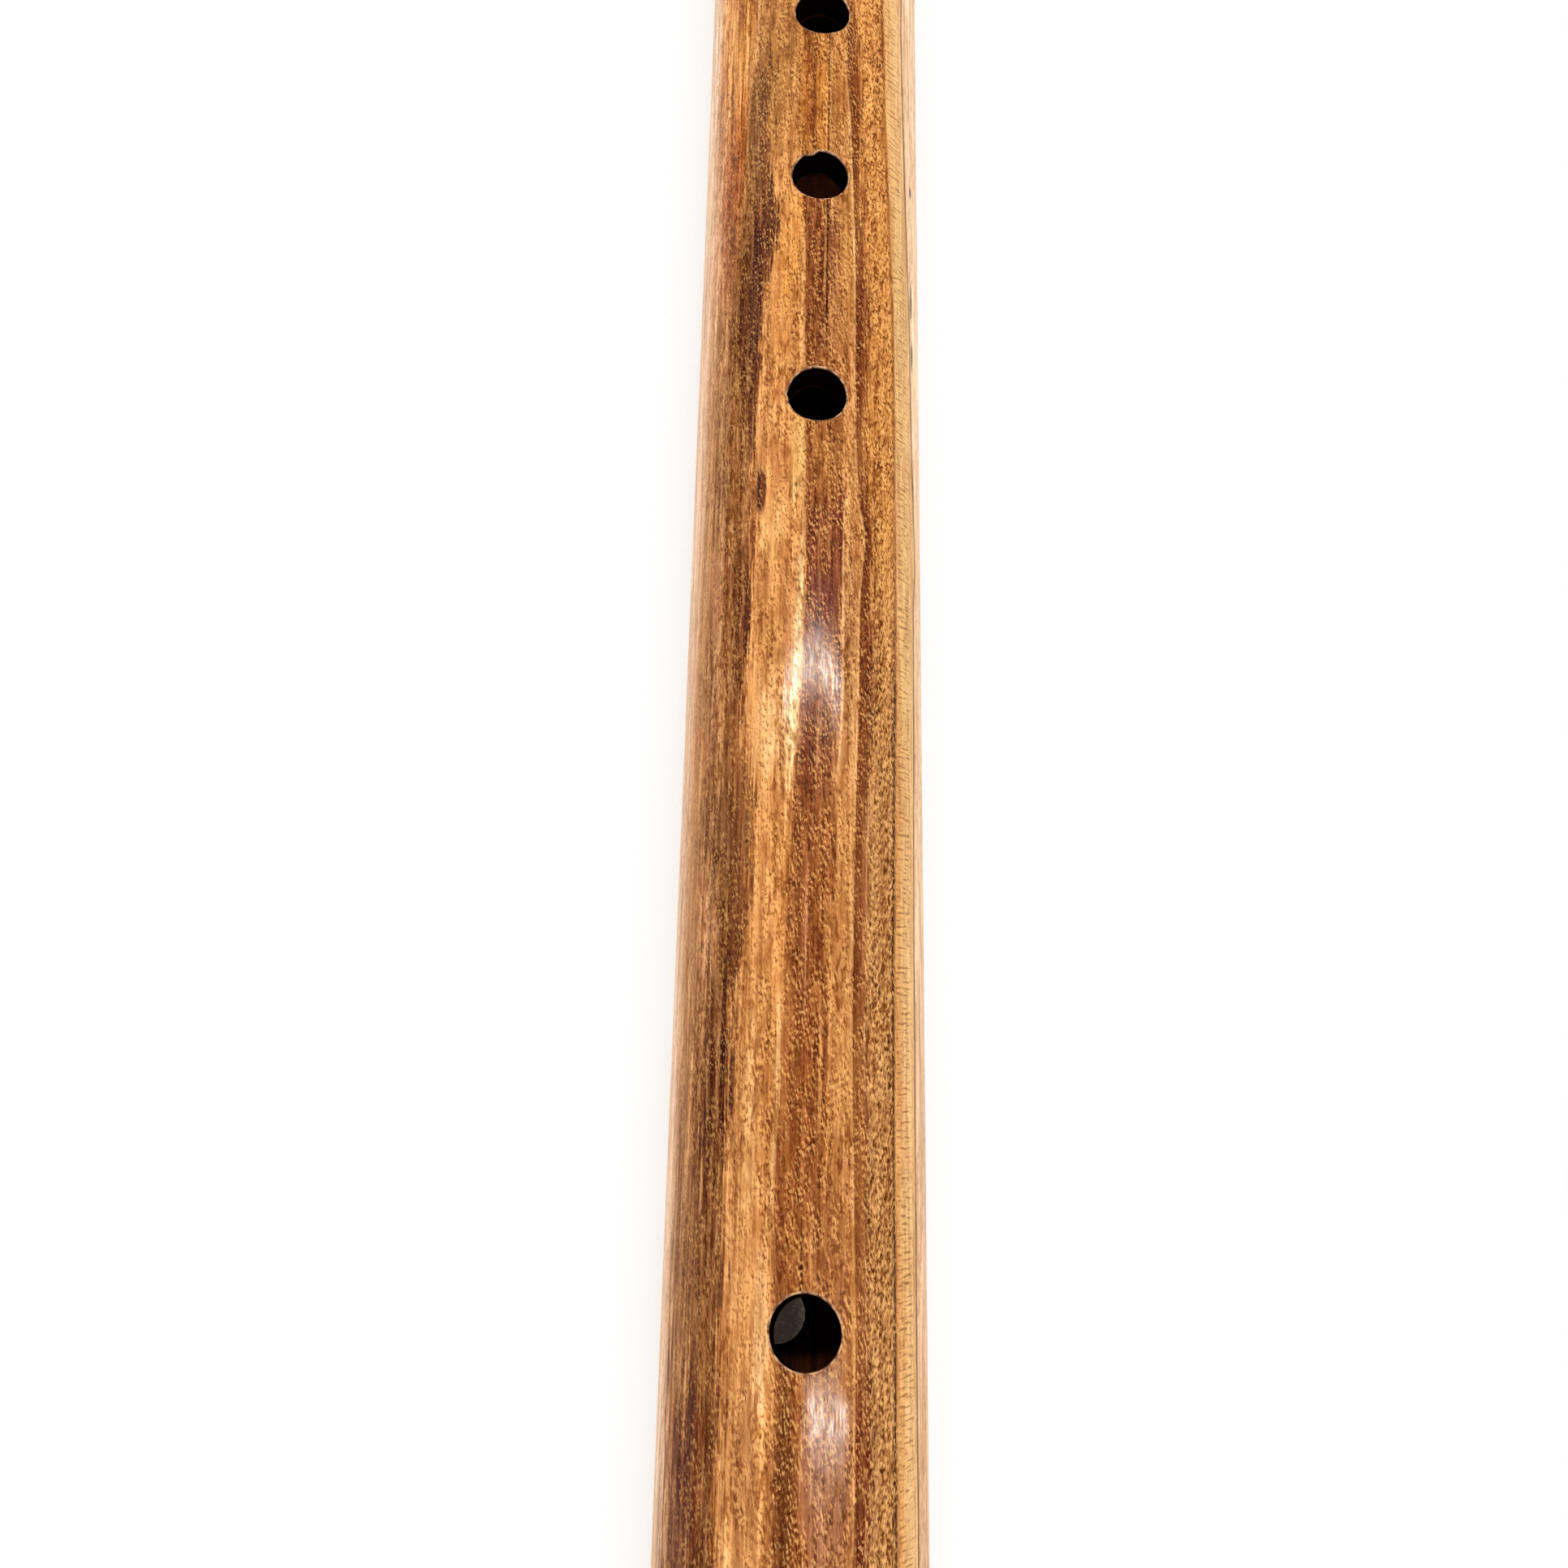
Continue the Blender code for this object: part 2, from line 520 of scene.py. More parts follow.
FAR_LEFT: Path2 = level(-135)
FAR_RIGHT: Path2 = level(135)
HEART_LEFT: Path2 = (
    (-175, -44), (-160, -44), (-142, -43), (-130, -44), (-120, -48), (-100, -47), (-90, -46),
    (-80, -46.5), (-72, -48), (-66, -43), (-58, -39), (-42, -38), (-35, -38), (-28, -37), (-24, -34.5),
    (-18, -33), (-10, -34.5), (0, -36), (10, -40), (20, -43), (30, -41), (40, -38), (50, -38.5),
    (60, -39), (68, -36), (76, -35), (85, -34),
)
HEART_RIGHT: Path2 = (
    (-175, -36), (-165, -35), (-160, -33), (-150, -34), (-140, -34.5), (-135, -35.5), (-130, -37),
    (-125, -35), (-110, -34.5), (-100, -33), (-95, -30), (-88, -27), (-80, -26), (-72, -24.5),
    (-67, -26), (-62, -31), (-55, -33), (-48, -32), (-42, -30.5), (-32, -30.8), (-24, -33), (-18, -32),
    (-10, -30), (0, -28.5), (10, -28), (18, -26.8), (25, -24), (30, -22), (36, -20.5), (41, -22.5),
    (48, -26), (60, -27.5), (70, -26), (85, -26),
)
PALE_RIGHT: Path2 = (
    (-175, -10.7), (-160, -11.2), (-154, -11.6), (-140, -13.5), (-130, -12.9), (-120, -11.8),
    (-110, -10.9), (-95, -10.7), (-88, -10), (-80, -8.9), (-70, -8), (-65, -7.3), (-60, -6.4),
    (-55, -5.5), (-45, -4.7), (-36, -4), (-28, -4.2), (-20, -4.7), (-8, -5.3), (5, -5.8), (20, -6.4),
    (30, -6.8), (38, -8.4), (44, -11), (60, -12.7), (74, -14), (85, -14.5),
)
PLUM_RIGHT: Path2 = (
    (-175, 20), (-140, 19.5), (-131, 18), (-126, 9), (-120, 7.7), (-100, 8), (-90, 8.6), (-80, 9.3),
    (-70, 10), (-66, 10.2), (-60, 11.6), (-50, 12.7), (-40, 12.3), (-22, 12.3), (-14, 12), (2, 12),
    (9, 6), (14, 4.1), (38, 4), (85, 4),
)
RIGHT_LINE: Path2 = (
    (-175, 20.5), (-160, 21), (-150, 21), (-140, 20.9), (-120, 19.5), (-100, 19), (-90, 19.4),
    (-80, 19.8), (-66, 20.5), (-60, 21.1), (-50, 21.6), (-40, 21.8), (-35, 22.3), (-30, 23.5),
    (-26, 24.4), (-23, 23.6), (-20, 21.8), (-10, 20), (0, 19.3), (20, 18.9), (30, 18.4), (45, 17),
    (52, 16.2), (60, 15), (66, 13.6), (85, 13.2),
)
RING_C: Path2 = (
    (-175, 41.8), (-140, 41.5), (-120, 41), (-100, 41), (-80, 41.7), (-60, 42.6), (-45, 43.3),
    (-20, 42.8), (0, 42.3), (20, 41.4), (40, 38.8), (60, 36.6), (85, 34.4),
)
RING_A: Path2 = (
    (-175, 57.7), (-150, 57.4), (-110, 57.5), (-90, 57.6), (-70, 58.6), (-50, 59.5), (-38, 60),
    (-31, 60.8), (-27, 62.8), (-20, 62), (-10, 60.2), (0, 59), (20, 57.6), (40, 54.6), (60, 52),
    (85, 50.2),
)


@dataclass(frozen=True)
class WoodFinish:
    """Streaky golden-brown wood under clear gloss varnish."""

    honey: Colour = tone(192, 128, 62)
    pale: Colour = tone(210, 146, 80)
    deep: Colour = tone(162, 100, 46)
    fleck_tint: Colour = (0.46, 0.29, 0.11, 1.0)
    dark_tint: Colour = (0.50, 0.31, 0.10, 1.0)
    light_tint: Colour = (1.46, 1.66, 2.02, 1.0)
    # Painted shade and painted highlight on the two sides of each pore speck, and the share of the
    # highlight that shows.
    speck_painted_shade: Colour = (0.40, 0.26, 0.10, 1.0)
    speck_painted_highlight: Colour = tone(236, 184, 112)
    speck_shine: float = 0.6
    pores: Pores = Pores(0.34, 0.90, 0.6, 0.42, 0.05, 0.15)
    gold_dots: Pores = Pores(0.50, 1.20, -0.6, 0.46, 0.06, 0.15, 0.9)
    strip_rungs: Pores = Pores(2.6, 0.54, 0.0, 0.30, 0.08, 0.19, 0.75)
    glue_tint: Colour = (0.22, 0.15, 0.10, 1.0)
    glue_share: float = 0.8
    grit_by_ring: Path2 = (
        (-150, 0.25), (-112, 0.35), (-100, 0.5), (-88, 0.6), (-72, 0.65), (-66, 0.85), (-40, 0.9),
        (-24, 0.9), (-18, 0.9), (-14, 1.0), (-1.5, 1.0), (1, 0.4), (13, 0.35), (17, 0.25), (70, 0.25),
    )
    fibre_by_ring: Path2 = (
        (-150, 0.2), (-115, 0.35), (-100, 0.6), (-84, 0.95), (-72, 0.9), (-66, 0.55), (-50, 0.5),
        (-40, 0.75), (-32, 0.45), (-22, 0.4), (-1.5, 0.4), (1, 0.25), (13, 0.25), (17, 0.4), (70, 0.4),
    )
    specular: float = 0.0
    roughness: float = 0.5
    coat_weight: tuple[float, float] = (0.40, 0.22)
    coat_roughness: tuple[float, float] = (0.05, 0.17)
    relief: float = 0.00007
    coat_relief: float = 0.000025

    # Each streak: name, colour, left edge, right edge, strength along the tube.
    streaks: tuple[Streak, ...] = (
        Streak(
            "left_tan", tone(206, 146, 88),
            FAR_LEFT,
            level(-36),
            level(0.9),
            right_soft=3.0, right_fray=2.0,
        ),
        Streak(
            "left_peach", tone(232, 172, 120),
            FAR_LEFT,
            (
                (-175, -61), (-140, -64), (-100, -66), (-50, -63), (-20, -61), (0, -59), (20, -56),
                (60, -54), (85, -49),
            ),
            level(0.9),
            right_soft=5.0, right_fray=1.5,
        ),
        Streak(
            "left_edge", tone(255, 218, 180),
            FAR_LEFT,
            ((-175, -71), (-100, -71), (0, -68), (85, -66)),
            ((-175, 0.9), (85, 0.95)),
            right_soft=6.0,
        ),
        Streak(
            "left_olive", tone(168, 112, 54),
            ((-175, -58), (-50, -46), (-20, -48), (-5, -53), (10, -55), (25, -52), (85, -50)),
            level(-36),
            (
                (-175, 0.2), (-140, 0.5), (-120, 0.6), (-100, 0.45), (-70, 0.25), (-30, 0.28),
                (-18, 0.4), (-5, 0.65), (8, 0.75), (20, 0.6), (32, 0.2), (85, 0.2),
            ),
            left_soft=5.0, right_soft=2.0, left_fray=2.0,
        ),
        Streak(
            "red_flush", tone(202, 112, 46),
            ((-175, -52), (20, -54), (30, -58), (40, -59), (50, -57), (60, -54), (68, -48), (85, -46)),
            ((-175, -43), (30, -43), (50, -42), (70, -41), (85, -41)),
            (
                (-175, 0.0), (8, 0.0), (24, 0.5), (32, 0.6), (44, 0.9), (58, 0.85), (66, 0.5),
                (72, 0.0), (85, 0.0),
            ),
            left_soft=3.0, right_soft=1.2, left_fray=1.6, right_fray=1.4,
        ),
        Streak(
            "left_fibres", tone(102, 44, 8),
            ((-175, -73), (-130, -70), (85, -66)),
            beside(HEART_LEFT, 1.0),
            (
                (-175, 0.9), (-150, 0.8), (-130, 0.6), (-110, 0.35), (-80, 0.2), (-40, 0.3), (0, 0.25),
                (40, 0.1), (85, 0.1),
            ),
            left_soft=4.0, right_soft=2.0, left_fray=2.0, right_fray=2.0, gaps=1.0,
        ),
        Streak(
            "tan_band", tone(200, 138, 78),
            PLUM_RIGHT,
            RIGHT_LINE,
            level(0.9),
            left_soft=0.5, right_soft=0.4, left_fray=0.4, right_fray=0.15,
        ),
        Streak(
            "upper_gold", tone(216, 146, 72),
            beside(RIGHT_LINE, 4.0),
            RING_C,
            ((-175, 0.0), (-80, 0.0), (-40, 0.35), (-10, 0.6), (5, 0.85), (85, 0.95)),
            left_soft=2.0, right_soft=0.5, right_fray=0.3,
        ),
        Streak(
            "lower_gold", tone(178, 126, 74),
            beside(RIGHT_LINE, 4.0),
            RING_C,
            ((-175, 0.95), (-70, 0.95), (-40, 0.5), (0, 0.0), (85, 0.0)),
            left_soft=2.0, right_soft=0.5, right_fray=0.3,
        ),
        Streak(
            "pale_band", tone(214, 146, 80),
            HEART_RIGHT,
            PALE_RIGHT,
            (
                (-175, 0.35), (-150, 0.5), (-110, 0.65), (-90, 0.75), (-60, 0.95), (-20, 0.95),
                (20, 0.95), (38, 0.9), (48, 0.7), (60, 0.45), (85, 0.4),
            ),
            left_soft=0.6, right_soft=0.3, left_fray=1.2, right_fray=0.15,
        ),
        Streak(
            "heart_olive", tone(132, 84, 34),
            beside(HEART_LEFT, -5.0),
            beside(HEART_LEFT, 4.0),
            (
                (-175, 0.0), (-15, 0.1), (-5, 0.6), (20, 0.8), (30, 0.7), (42, 0.4), (56, 0.3),
                (66, 0.0), (85, 0.0),
            ),
            left_soft=3.0, right_soft=2.0, left_fray=2.5, right_fray=2.0,
        ),
        Streak(
            "heart", tone(84, 27, 3),
            HEART_LEFT,
            HEART_RIGHT,
            (
                (-175, 0.75), (-160, 0.8), (-142, 0.75), (-130, 0.65), (-122, 0.97), (-105, 0.93),
                (-90, 0.6), (-72, 0.65), (-65, 0.45), (-56, 0.5), (-46, 0.8), (-32, 0.85), (-25, 0.6),
                (-20, 0.0), (-14, 0.1), (-8, 0.82), (5, 0.95), (20, 1.0), (35, 0.92), (45, 0.75),
                (60, 0.8), (68, 0.4), (76, 0.0), (85, 0.0),
            ),
            left_soft=2.0, right_soft=1.1, left_fray=4.0, right_fray=2.2, gaps=0.4,
        ),
        Streak(
            "plum", tone(116, 50, 28),
            PALE_RIGHT,
            PLUM_RIGHT,
            (
                (-175, 0.0), (-90, 0.0), (-75, 0.35), (-66, 0.8), (-58, 0.98), (-26, 0.98),
                (-21, 0.75), (-16, 0.35), (-6, 0.4), (5, 0.66), (18, 0.68), (34, 0.64), (44, 0.3),
                (50, 0.0), (85, 0.0),
            ),
            left_soft=0.3, right_soft=0.7, left_fray=0.2, right_fray=1.2, gaps=0.4,
        ),
        Streak(
            "russet", tone(146, 80, 36),
            PALE_RIGHT,
            PLUM_RIGHT,
            (
                (-175, 0.7), (-150, 0.75), (-135, 0.85), (-120, 0.95), (-80, 0.95), (-72, 0.6),
                (-64, 0.1), (-58, 0.0), (85, 0.0),
            ),
            left_soft=0.3, right_soft=0.8, left_fray=0.25, right_fray=1.2, gaps=0.45,
        ),
        Streak(
            "right_brown", tone(104, 35, 3),
            RIGHT_LINE,
            beside(RIGHT_LINE, 6.0),
            (
                (-175, 0.98), (-158, 0.98), (-150, 0.75), (-135, 0.65), (-115, 0.6), (-100, 0.7),
                (-70, 0.75), (-60, 0.7), (-47, 0.9), (-22, 0.95), (-15, 0.5), (-8, 0.35), (0, 0.75),
                (8, 0.9), (22, 0.8), (30, 0.4), (45, 0.45), (58, 0.8), (68, 0.6), (85, 0.4),
            ),
            left_soft=0.3, right_soft=1.4, left_fray=0.15, right_fray=1.8, gaps=0.2,
        ),
        Streak(
            "gold_strip", tone(226, 182, 120),
            RING_C,
            RING_A,
            level(0.95),
            left_soft=0.6, right_soft=0.6, left_fray=0.15, right_fray=0.1,
        ),
        Streak(
            "amber_strip", tone(206, 142, 76),
            RING_C,
            beside(RING_C, 4.5),
            ((-175, 0.98), (-80, 0.98), (-50, 0.55), (-30, 0.25), (85, 0.25)),
            left_soft=0.4, right_soft=3.5, left_fray=0.15, right_fray=0.3,
        ),
        Streak(
            "sap", tone(248, 211, 168),
            RING_A,
            FAR_RIGHT,
            ((-175, 0.6), (-120, 0.7), (-80, 0.92), (85, 0.95)),
            left_soft=0.8, left_fray=0.1,
        ),
    )

    # Each mark: name, colour, turn and place along, half its width and length, strength.
    marks: tuple[Mark, ...] = (
        Mark("top_glow", tone(236, 158, 70), -52.0, 80.0, 13.0, 20.0, 0.7, fray=2.0),
        Mark("left_glow", tone(246, 192, 142), -62.0, 44.0, 7.0, 24.0, 0.45, fray=1.8),
        Mark("flush_core", tone(176, 94, 36), -46.5, 48.0, 4.5, 16.0, 0.6),
        Mark("flush_foot", tone(164, 102, 53), -49.0, 30.0, 7.0, 14.0, 0.6),
        Mark("flush_light", tone(204, 147, 79), -40.0, 50.0, 1.3, 8.0, 0.65),
        Mark("flush_hair", tone(78, 44, 15), -37.0, 49.0, 0.6, 5.0, 0.9),
        Mark("heart_crown", tone(124, 75, 28), -31.0, 66.0, 5.0, 8.0, 0.75, fray=2.0),
        Mark("heart_flecks", tone(158, 102, 41), -30.0, 77.0, 5.0, 6.0, 0.5, fray=2.0),
        Mark("heart_gap", tone(186, 125, 64), -35.8, 35.0, 1.4, 4.5, 0.6),
        Mark("heart_pit", tone(72, 28, 5), -33.0, 20.0, 4.5, 15.0, 0.5, fray=2.6),
        Mark("grey_lace", tone(154, 102, 40), -21.5, 66.0, 5.5, 13.0, 0.6, fray=2.4),
        Mark("upper_brown", tone(190, 112, 38), -7.5, 59.0, 3.4, 11.0, 0.55, fray=1.4),
        Mark("upper_light", tone(220, 146, 62), 0.3, 60.0, 2.8, 13.0, 0.7),
        Mark("upper_tan", tone(168, 104, 40), 9.0, 62.0, 4.6, 13.0, 0.7),
        Mark("right_stain", tone(120, 54, 4), 19.0, 63.0, 3.6, 9.0, 0.8, fray=1.0),
        Mark("lower_stain", tone(114, 46, 5), 22.0, 13.0, 3.4, 13.0, 0.85, fray=0.8),
        Mark("gold_pool", tone(206, 135, 52), -14.5, 30.0, 5.5, 10.0, 0.6),
        Mark("pale_ochre", tone(184, 118, 40), -17.0, 17.0, 6.0, 11.0, 0.4, fray=1.1),
        Mark("pale_torn", tone(164, 102, 44), -10.0, 6.0, 2.6, 17.0, 0.55, fray=2.2),
        Mark("plum_vein", tone(122, 60, 28), 6.8, 27.0, 2.8, 8.5, 0.8),
        Mark("plum_tan", tone(182, 120, 58), 13.5, 26.0, 3.6, 20.0, 0.7),
        Mark("check_tan", tone(164, 100, 50), 9.5, 11.0, 5.6, 8.0, 0.6),
        Mark("knot", tone(96, 32, 4), -25.8, -17.6, 2.3, 4.0, 0.95, 0.25, 0.3),
        Mark("knot_rim", tone(70, 34, 12), -27.8, -17.0, 0.8, 4.5, 0.85, fray=0.3),
        Mark("brown_fan", tone(150, 93, 41), -39.5, -16.0, 5.0, 6.5, 0.65, fray=2.0),
        Mark("light_lip", tone(244, 193, 112), -9.3, -11.0, 3.0, 6.0, 0.65),
        Mark("cream_eye", tone(248, 207, 134), -9.5, -17.3, 3.2, 2.0, 0.75),
        Mark("eye_pit", tone(110, 64, 24), -9.3, -17.0, 0.8, 0.5, 0.8, fray=0.2),
        Mark("pale_pool", tone(242, 182, 108), -19.5, -25.0, 5.5, 5.0, 0.7, fray=1.5),
        Mark("fleck_left", tone(178, 114, 50), -25.0, -31.5, 1.3, 3.6, 0.7),
        Mark("fleck_right", tone(158, 92, 34), -12.5, -34.0, 2.6, 2.2, 0.6),
        Mark("fleck_low", tone(156, 94, 34), -19.5, -42.0, 2.2, 4.5, 0.7),
        Mark("fleck_dark", tone(116, 62, 20), -19.0, -44.0, 1.2, 1.4, 0.7),
        Mark("left_smudge", tone(160, 108, 64), -54.0, -50.5, 6.5, 2.6, 0.65),
        Mark("left_hair", tone(122, 79, 45), -56.2, -42.0, 0.4, 7.0, 0.8, fray=0.1),
        # Painted highlight on the pale band, where the far lamp's reflection lies.
        Mark("painted_highlight_field", tone(232, 178, 112), -16.0, -58.0, 9.5, 10.0, 0.65),
        Mark("painted_highlight_drop", tone(250, 212, 139), -10.0, -56.0, 4.0, 3.0, 0.7),
        Mark("edge_dim", tone(200, 156, 120), -74.0, -70.0, 6.0, 36.0, 0.4, fray=0.9),
        Mark("left_spot", tone(152, 102, 60), -58.0, -75.0, 3.0, 5.0, 0.6),
        Mark("low_spot", tone(152, 104, 65), -59.5, -95.0, 4.0, 5.0, 0.6),
        Mark("heart_soot", tone(84, 46, 20), -41.0, -74.0, 6.0, 7.0, 0.45, fray=2.8),
        Mark("heart_hair", tone(70, 42, 22), -37.6, -97.0, 0.8, 3.5, 0.8, fray=0.2),
        Mark("edge_spot", tone(146, 100, 60), -64.5, -119.0, 1.2, 3.5, 0.65),
        Mark("edge_nick", tone(140, 93, 53), -69.5, -138.0, 1.0, 2.5, 0.65),
        Mark("amber_patch", tone(174, 108, 45), -16.5, -114.0, 3.6, 11.0, 0.75),
        Mark("pale_light", tone(224, 166, 98), -24.0, -116.0, 3.2, 14.0, 0.6),
        Mark("pale_lace", tone(178, 118, 58), -31.0, -110.0, 3.0, 10.0, 0.55, fray=1.6),
        Mark("left_dim", tone(136, 86, 50), -61.5, -132.0, 6.5, 15.0, 0.4, fray=1.9),
        Mark("left_brown", tone(148, 96, 50), -52.5, -138.0, 7.0, 8.0, 0.65, fray=1.4),
        Mark("left_stain", tone(120, 54, 10), -50.0, -166.0, 10.0, 13.0, 0.65, fray=3.0),
        Mark("left_core", tone(88, 34, 4), -51.5, -165.0, 4.5, 9.0, 0.5, fray=3.0),
        Mark("low_brown", tone(166, 108, 53), -44.0, -150.0, 8.0, 6.0, 0.55, fray=1.4),
        Mark("pale_foot", tone(166, 106, 60), -23.0, -165.0, 6.0, 11.0, 0.45, fray=1.7),
        Mark("hole_glow", tone(232, 181, 120), -17.5, -147.0, 3.2, 8.0, 0.7),
        Mark("tan_dim", tone(160, 116, 76), 16.5, -45.0, 3.5, 17.0, 0.4, fray=0.7),
        Mark("russet_left", tone(124, 68, 28), -6.0, -88.0, 3.0, 13.0, 0.65),
        Mark("russet_low", tone(170, 108, 55), 10.0, -134.0, 9.5, 7.0, 0.7, fray=1.0),
        Mark("foot_brown", tone(106, 58, 20), -6.8, -168.0, 4.0, 19.0, 0.85),
        Mark("foot_rose", tone(166, 112, 76), 9.5, -164.0, 9.5, 13.0, 0.7),
        Mark("hair_left", tone(84, 48, 24), -2.4, -98.0, 0.35, 4.0, 0.85, fray=0.1),
        Mark("hair_mid", tone(88, 48, 22), 3.8, -112.0, 0.35, 8.0, 0.75, fray=0.1),
        Mark("hair_low", tone(84, 48, 22), -1.7, -136.0, 0.35, 6.0, 0.8, fray=0.1),
        Mark("hair_last", tone(96, 54, 26), 3.4, -134.0, 0.35, 7.0, 0.7, fray=0.1),
        Mark("bark_top", tone(66, 44, 26), 60.0, 50.0, 1.3, 1.1, 0.9, fray=0.2),
        Mark("bark_mid", tone(66, 44, 26), 60.1, 26.0, 1.2, 3.5, 0.9, fray=0.2),
        Mark("bark_low", tone(66, 44, 26), 60.6, 15.0, 1.2, 3.0, 0.9, fray=0.2),
    )

    # Each line: name, colour, path, strength along the tube, how far it fades to each side.
    lines: tuple[RingLine, ...] = (
        RingLine(
            "right_light", tone(232, 184, 118),
            beside(RIGHT_LINE, -0.9),
            (
                (-175, 0.3), (-130, 0.2), (-100, 0.4), (-70, 0.4), (-60, 0.7), (-28, 0.7), (-18, 0.4),
                (20, 0.45), (45, 0.7), (60, 0.6), (85, 0.3),
            ),
            1.1, 0.7,
        ),
        RingLine(
            "plum_light", tone(228, 180, 124),
            beside(PLUM_RIGHT, 0.8),
            ((-175, 0.0), (-78, 0.0), (-66, 0.5), (-58, 0.7), (-26, 0.6), (-20, 0.0), (85, 0.0)),
            0.6, 0.9,
        ),
        RingLine(
            "pale_lip", tone(250, 212, 146),
            beside(PALE_RIGHT, -1.4),
            (
                (-175, 0.0), (-140, 0.0), (-128, 0.45), (-106, 0.5), (-98, 0.0), (-70, 0.0),
                (-64, 0.7), (-34, 0.6), (-10, 0.45), (0, 0.25), (28, 0.3), (34, 0.0), (85, 0.0),
            ),
            1.6, 1.0,
        ),
        # Painted highlight: a broad cream band on the pale band, where the far lamp's reflection lies.
        RingLine(
            "painted_highlight_fall", tone(252, 222, 160),
            beside(PALE_RIGHT, -2.6),
            ((-175, 0.0), (-66, 0.0), (-60, 0.8), (-40, 0.9), (-35, 0.3), (-30, 0.0), (85, 0.0)),
            2.4, 2.2,
        ),
        RingLine(
            "mid_light", tone(206, 154, 110),
            ((-175, -2), (-100, -2), (-90, -1.5), (-80, -0.8), (-70, 1.0), (-60, 2), (85, 2)),
            ((-175, 0.0), (-106, 0.0), (-98, 0.25), (-66, 0.25), (-57, 0.0), (85, 0.0)),
            1.2, 0.8,
        ),
        RingLine(
            "right_line", tone(92, 50, 18),
            RIGHT_LINE,
            (
                (-175, 0.5), (-140, 0.3), (-100, 0.5), (-60, 0.7), (-20, 0.85), (-8, 0.5), (20, 0.75),
                (60, 0.6), (85, 0.5),
            ),
            0.3, 0.8,
        ),
        RingLine(
            "ring_c", tone(152, 88, 30),
            RING_C,
            ((-175, 0.5), (-60, 0.6), (-40, 0.8), (85, 0.9)),
            2.0, 1.6,
        ),
        RingLine(
            "ring_c_dark", tone(48, 24, 6),
            beside(RING_C, -0.7),
            ((-175, 0.9), (-70, 0.95), (-45, 0.55), (-30, 0.1), (85, 0.0)),
            1.7, 1.0,
        ),
        RingLine(
            "ring_a", tone(84, 48, 24),
            RING_A,
            level(0.95),
            1.0, 1.7,
        ),
        RingLine(
            "check", tone(44, 18, 6),
            ((-175, 3.9), (20, 3.9), (45, 3.7), (85, 3.9)),
            ((-175, 0.0), (7, 0.0), (11, 0.9), (38, 0.95), (50, 0.95), (72, 0.9), (85, 0.9)),
            0.5, 0.75,
        ),
        RingLine(
            "check_light", tone(224, 170, 108),
            ((-175, 3.0), (20, 3.0), (45, 2.8), (85, 3.0)),
            ((-175, 0.0), (8, 0.0), (12, 0.5), (38, 0.5), (50, 0.4), (72, 0.4), (85, 0.4)),
            0.6, 0.5,
        ),
    )


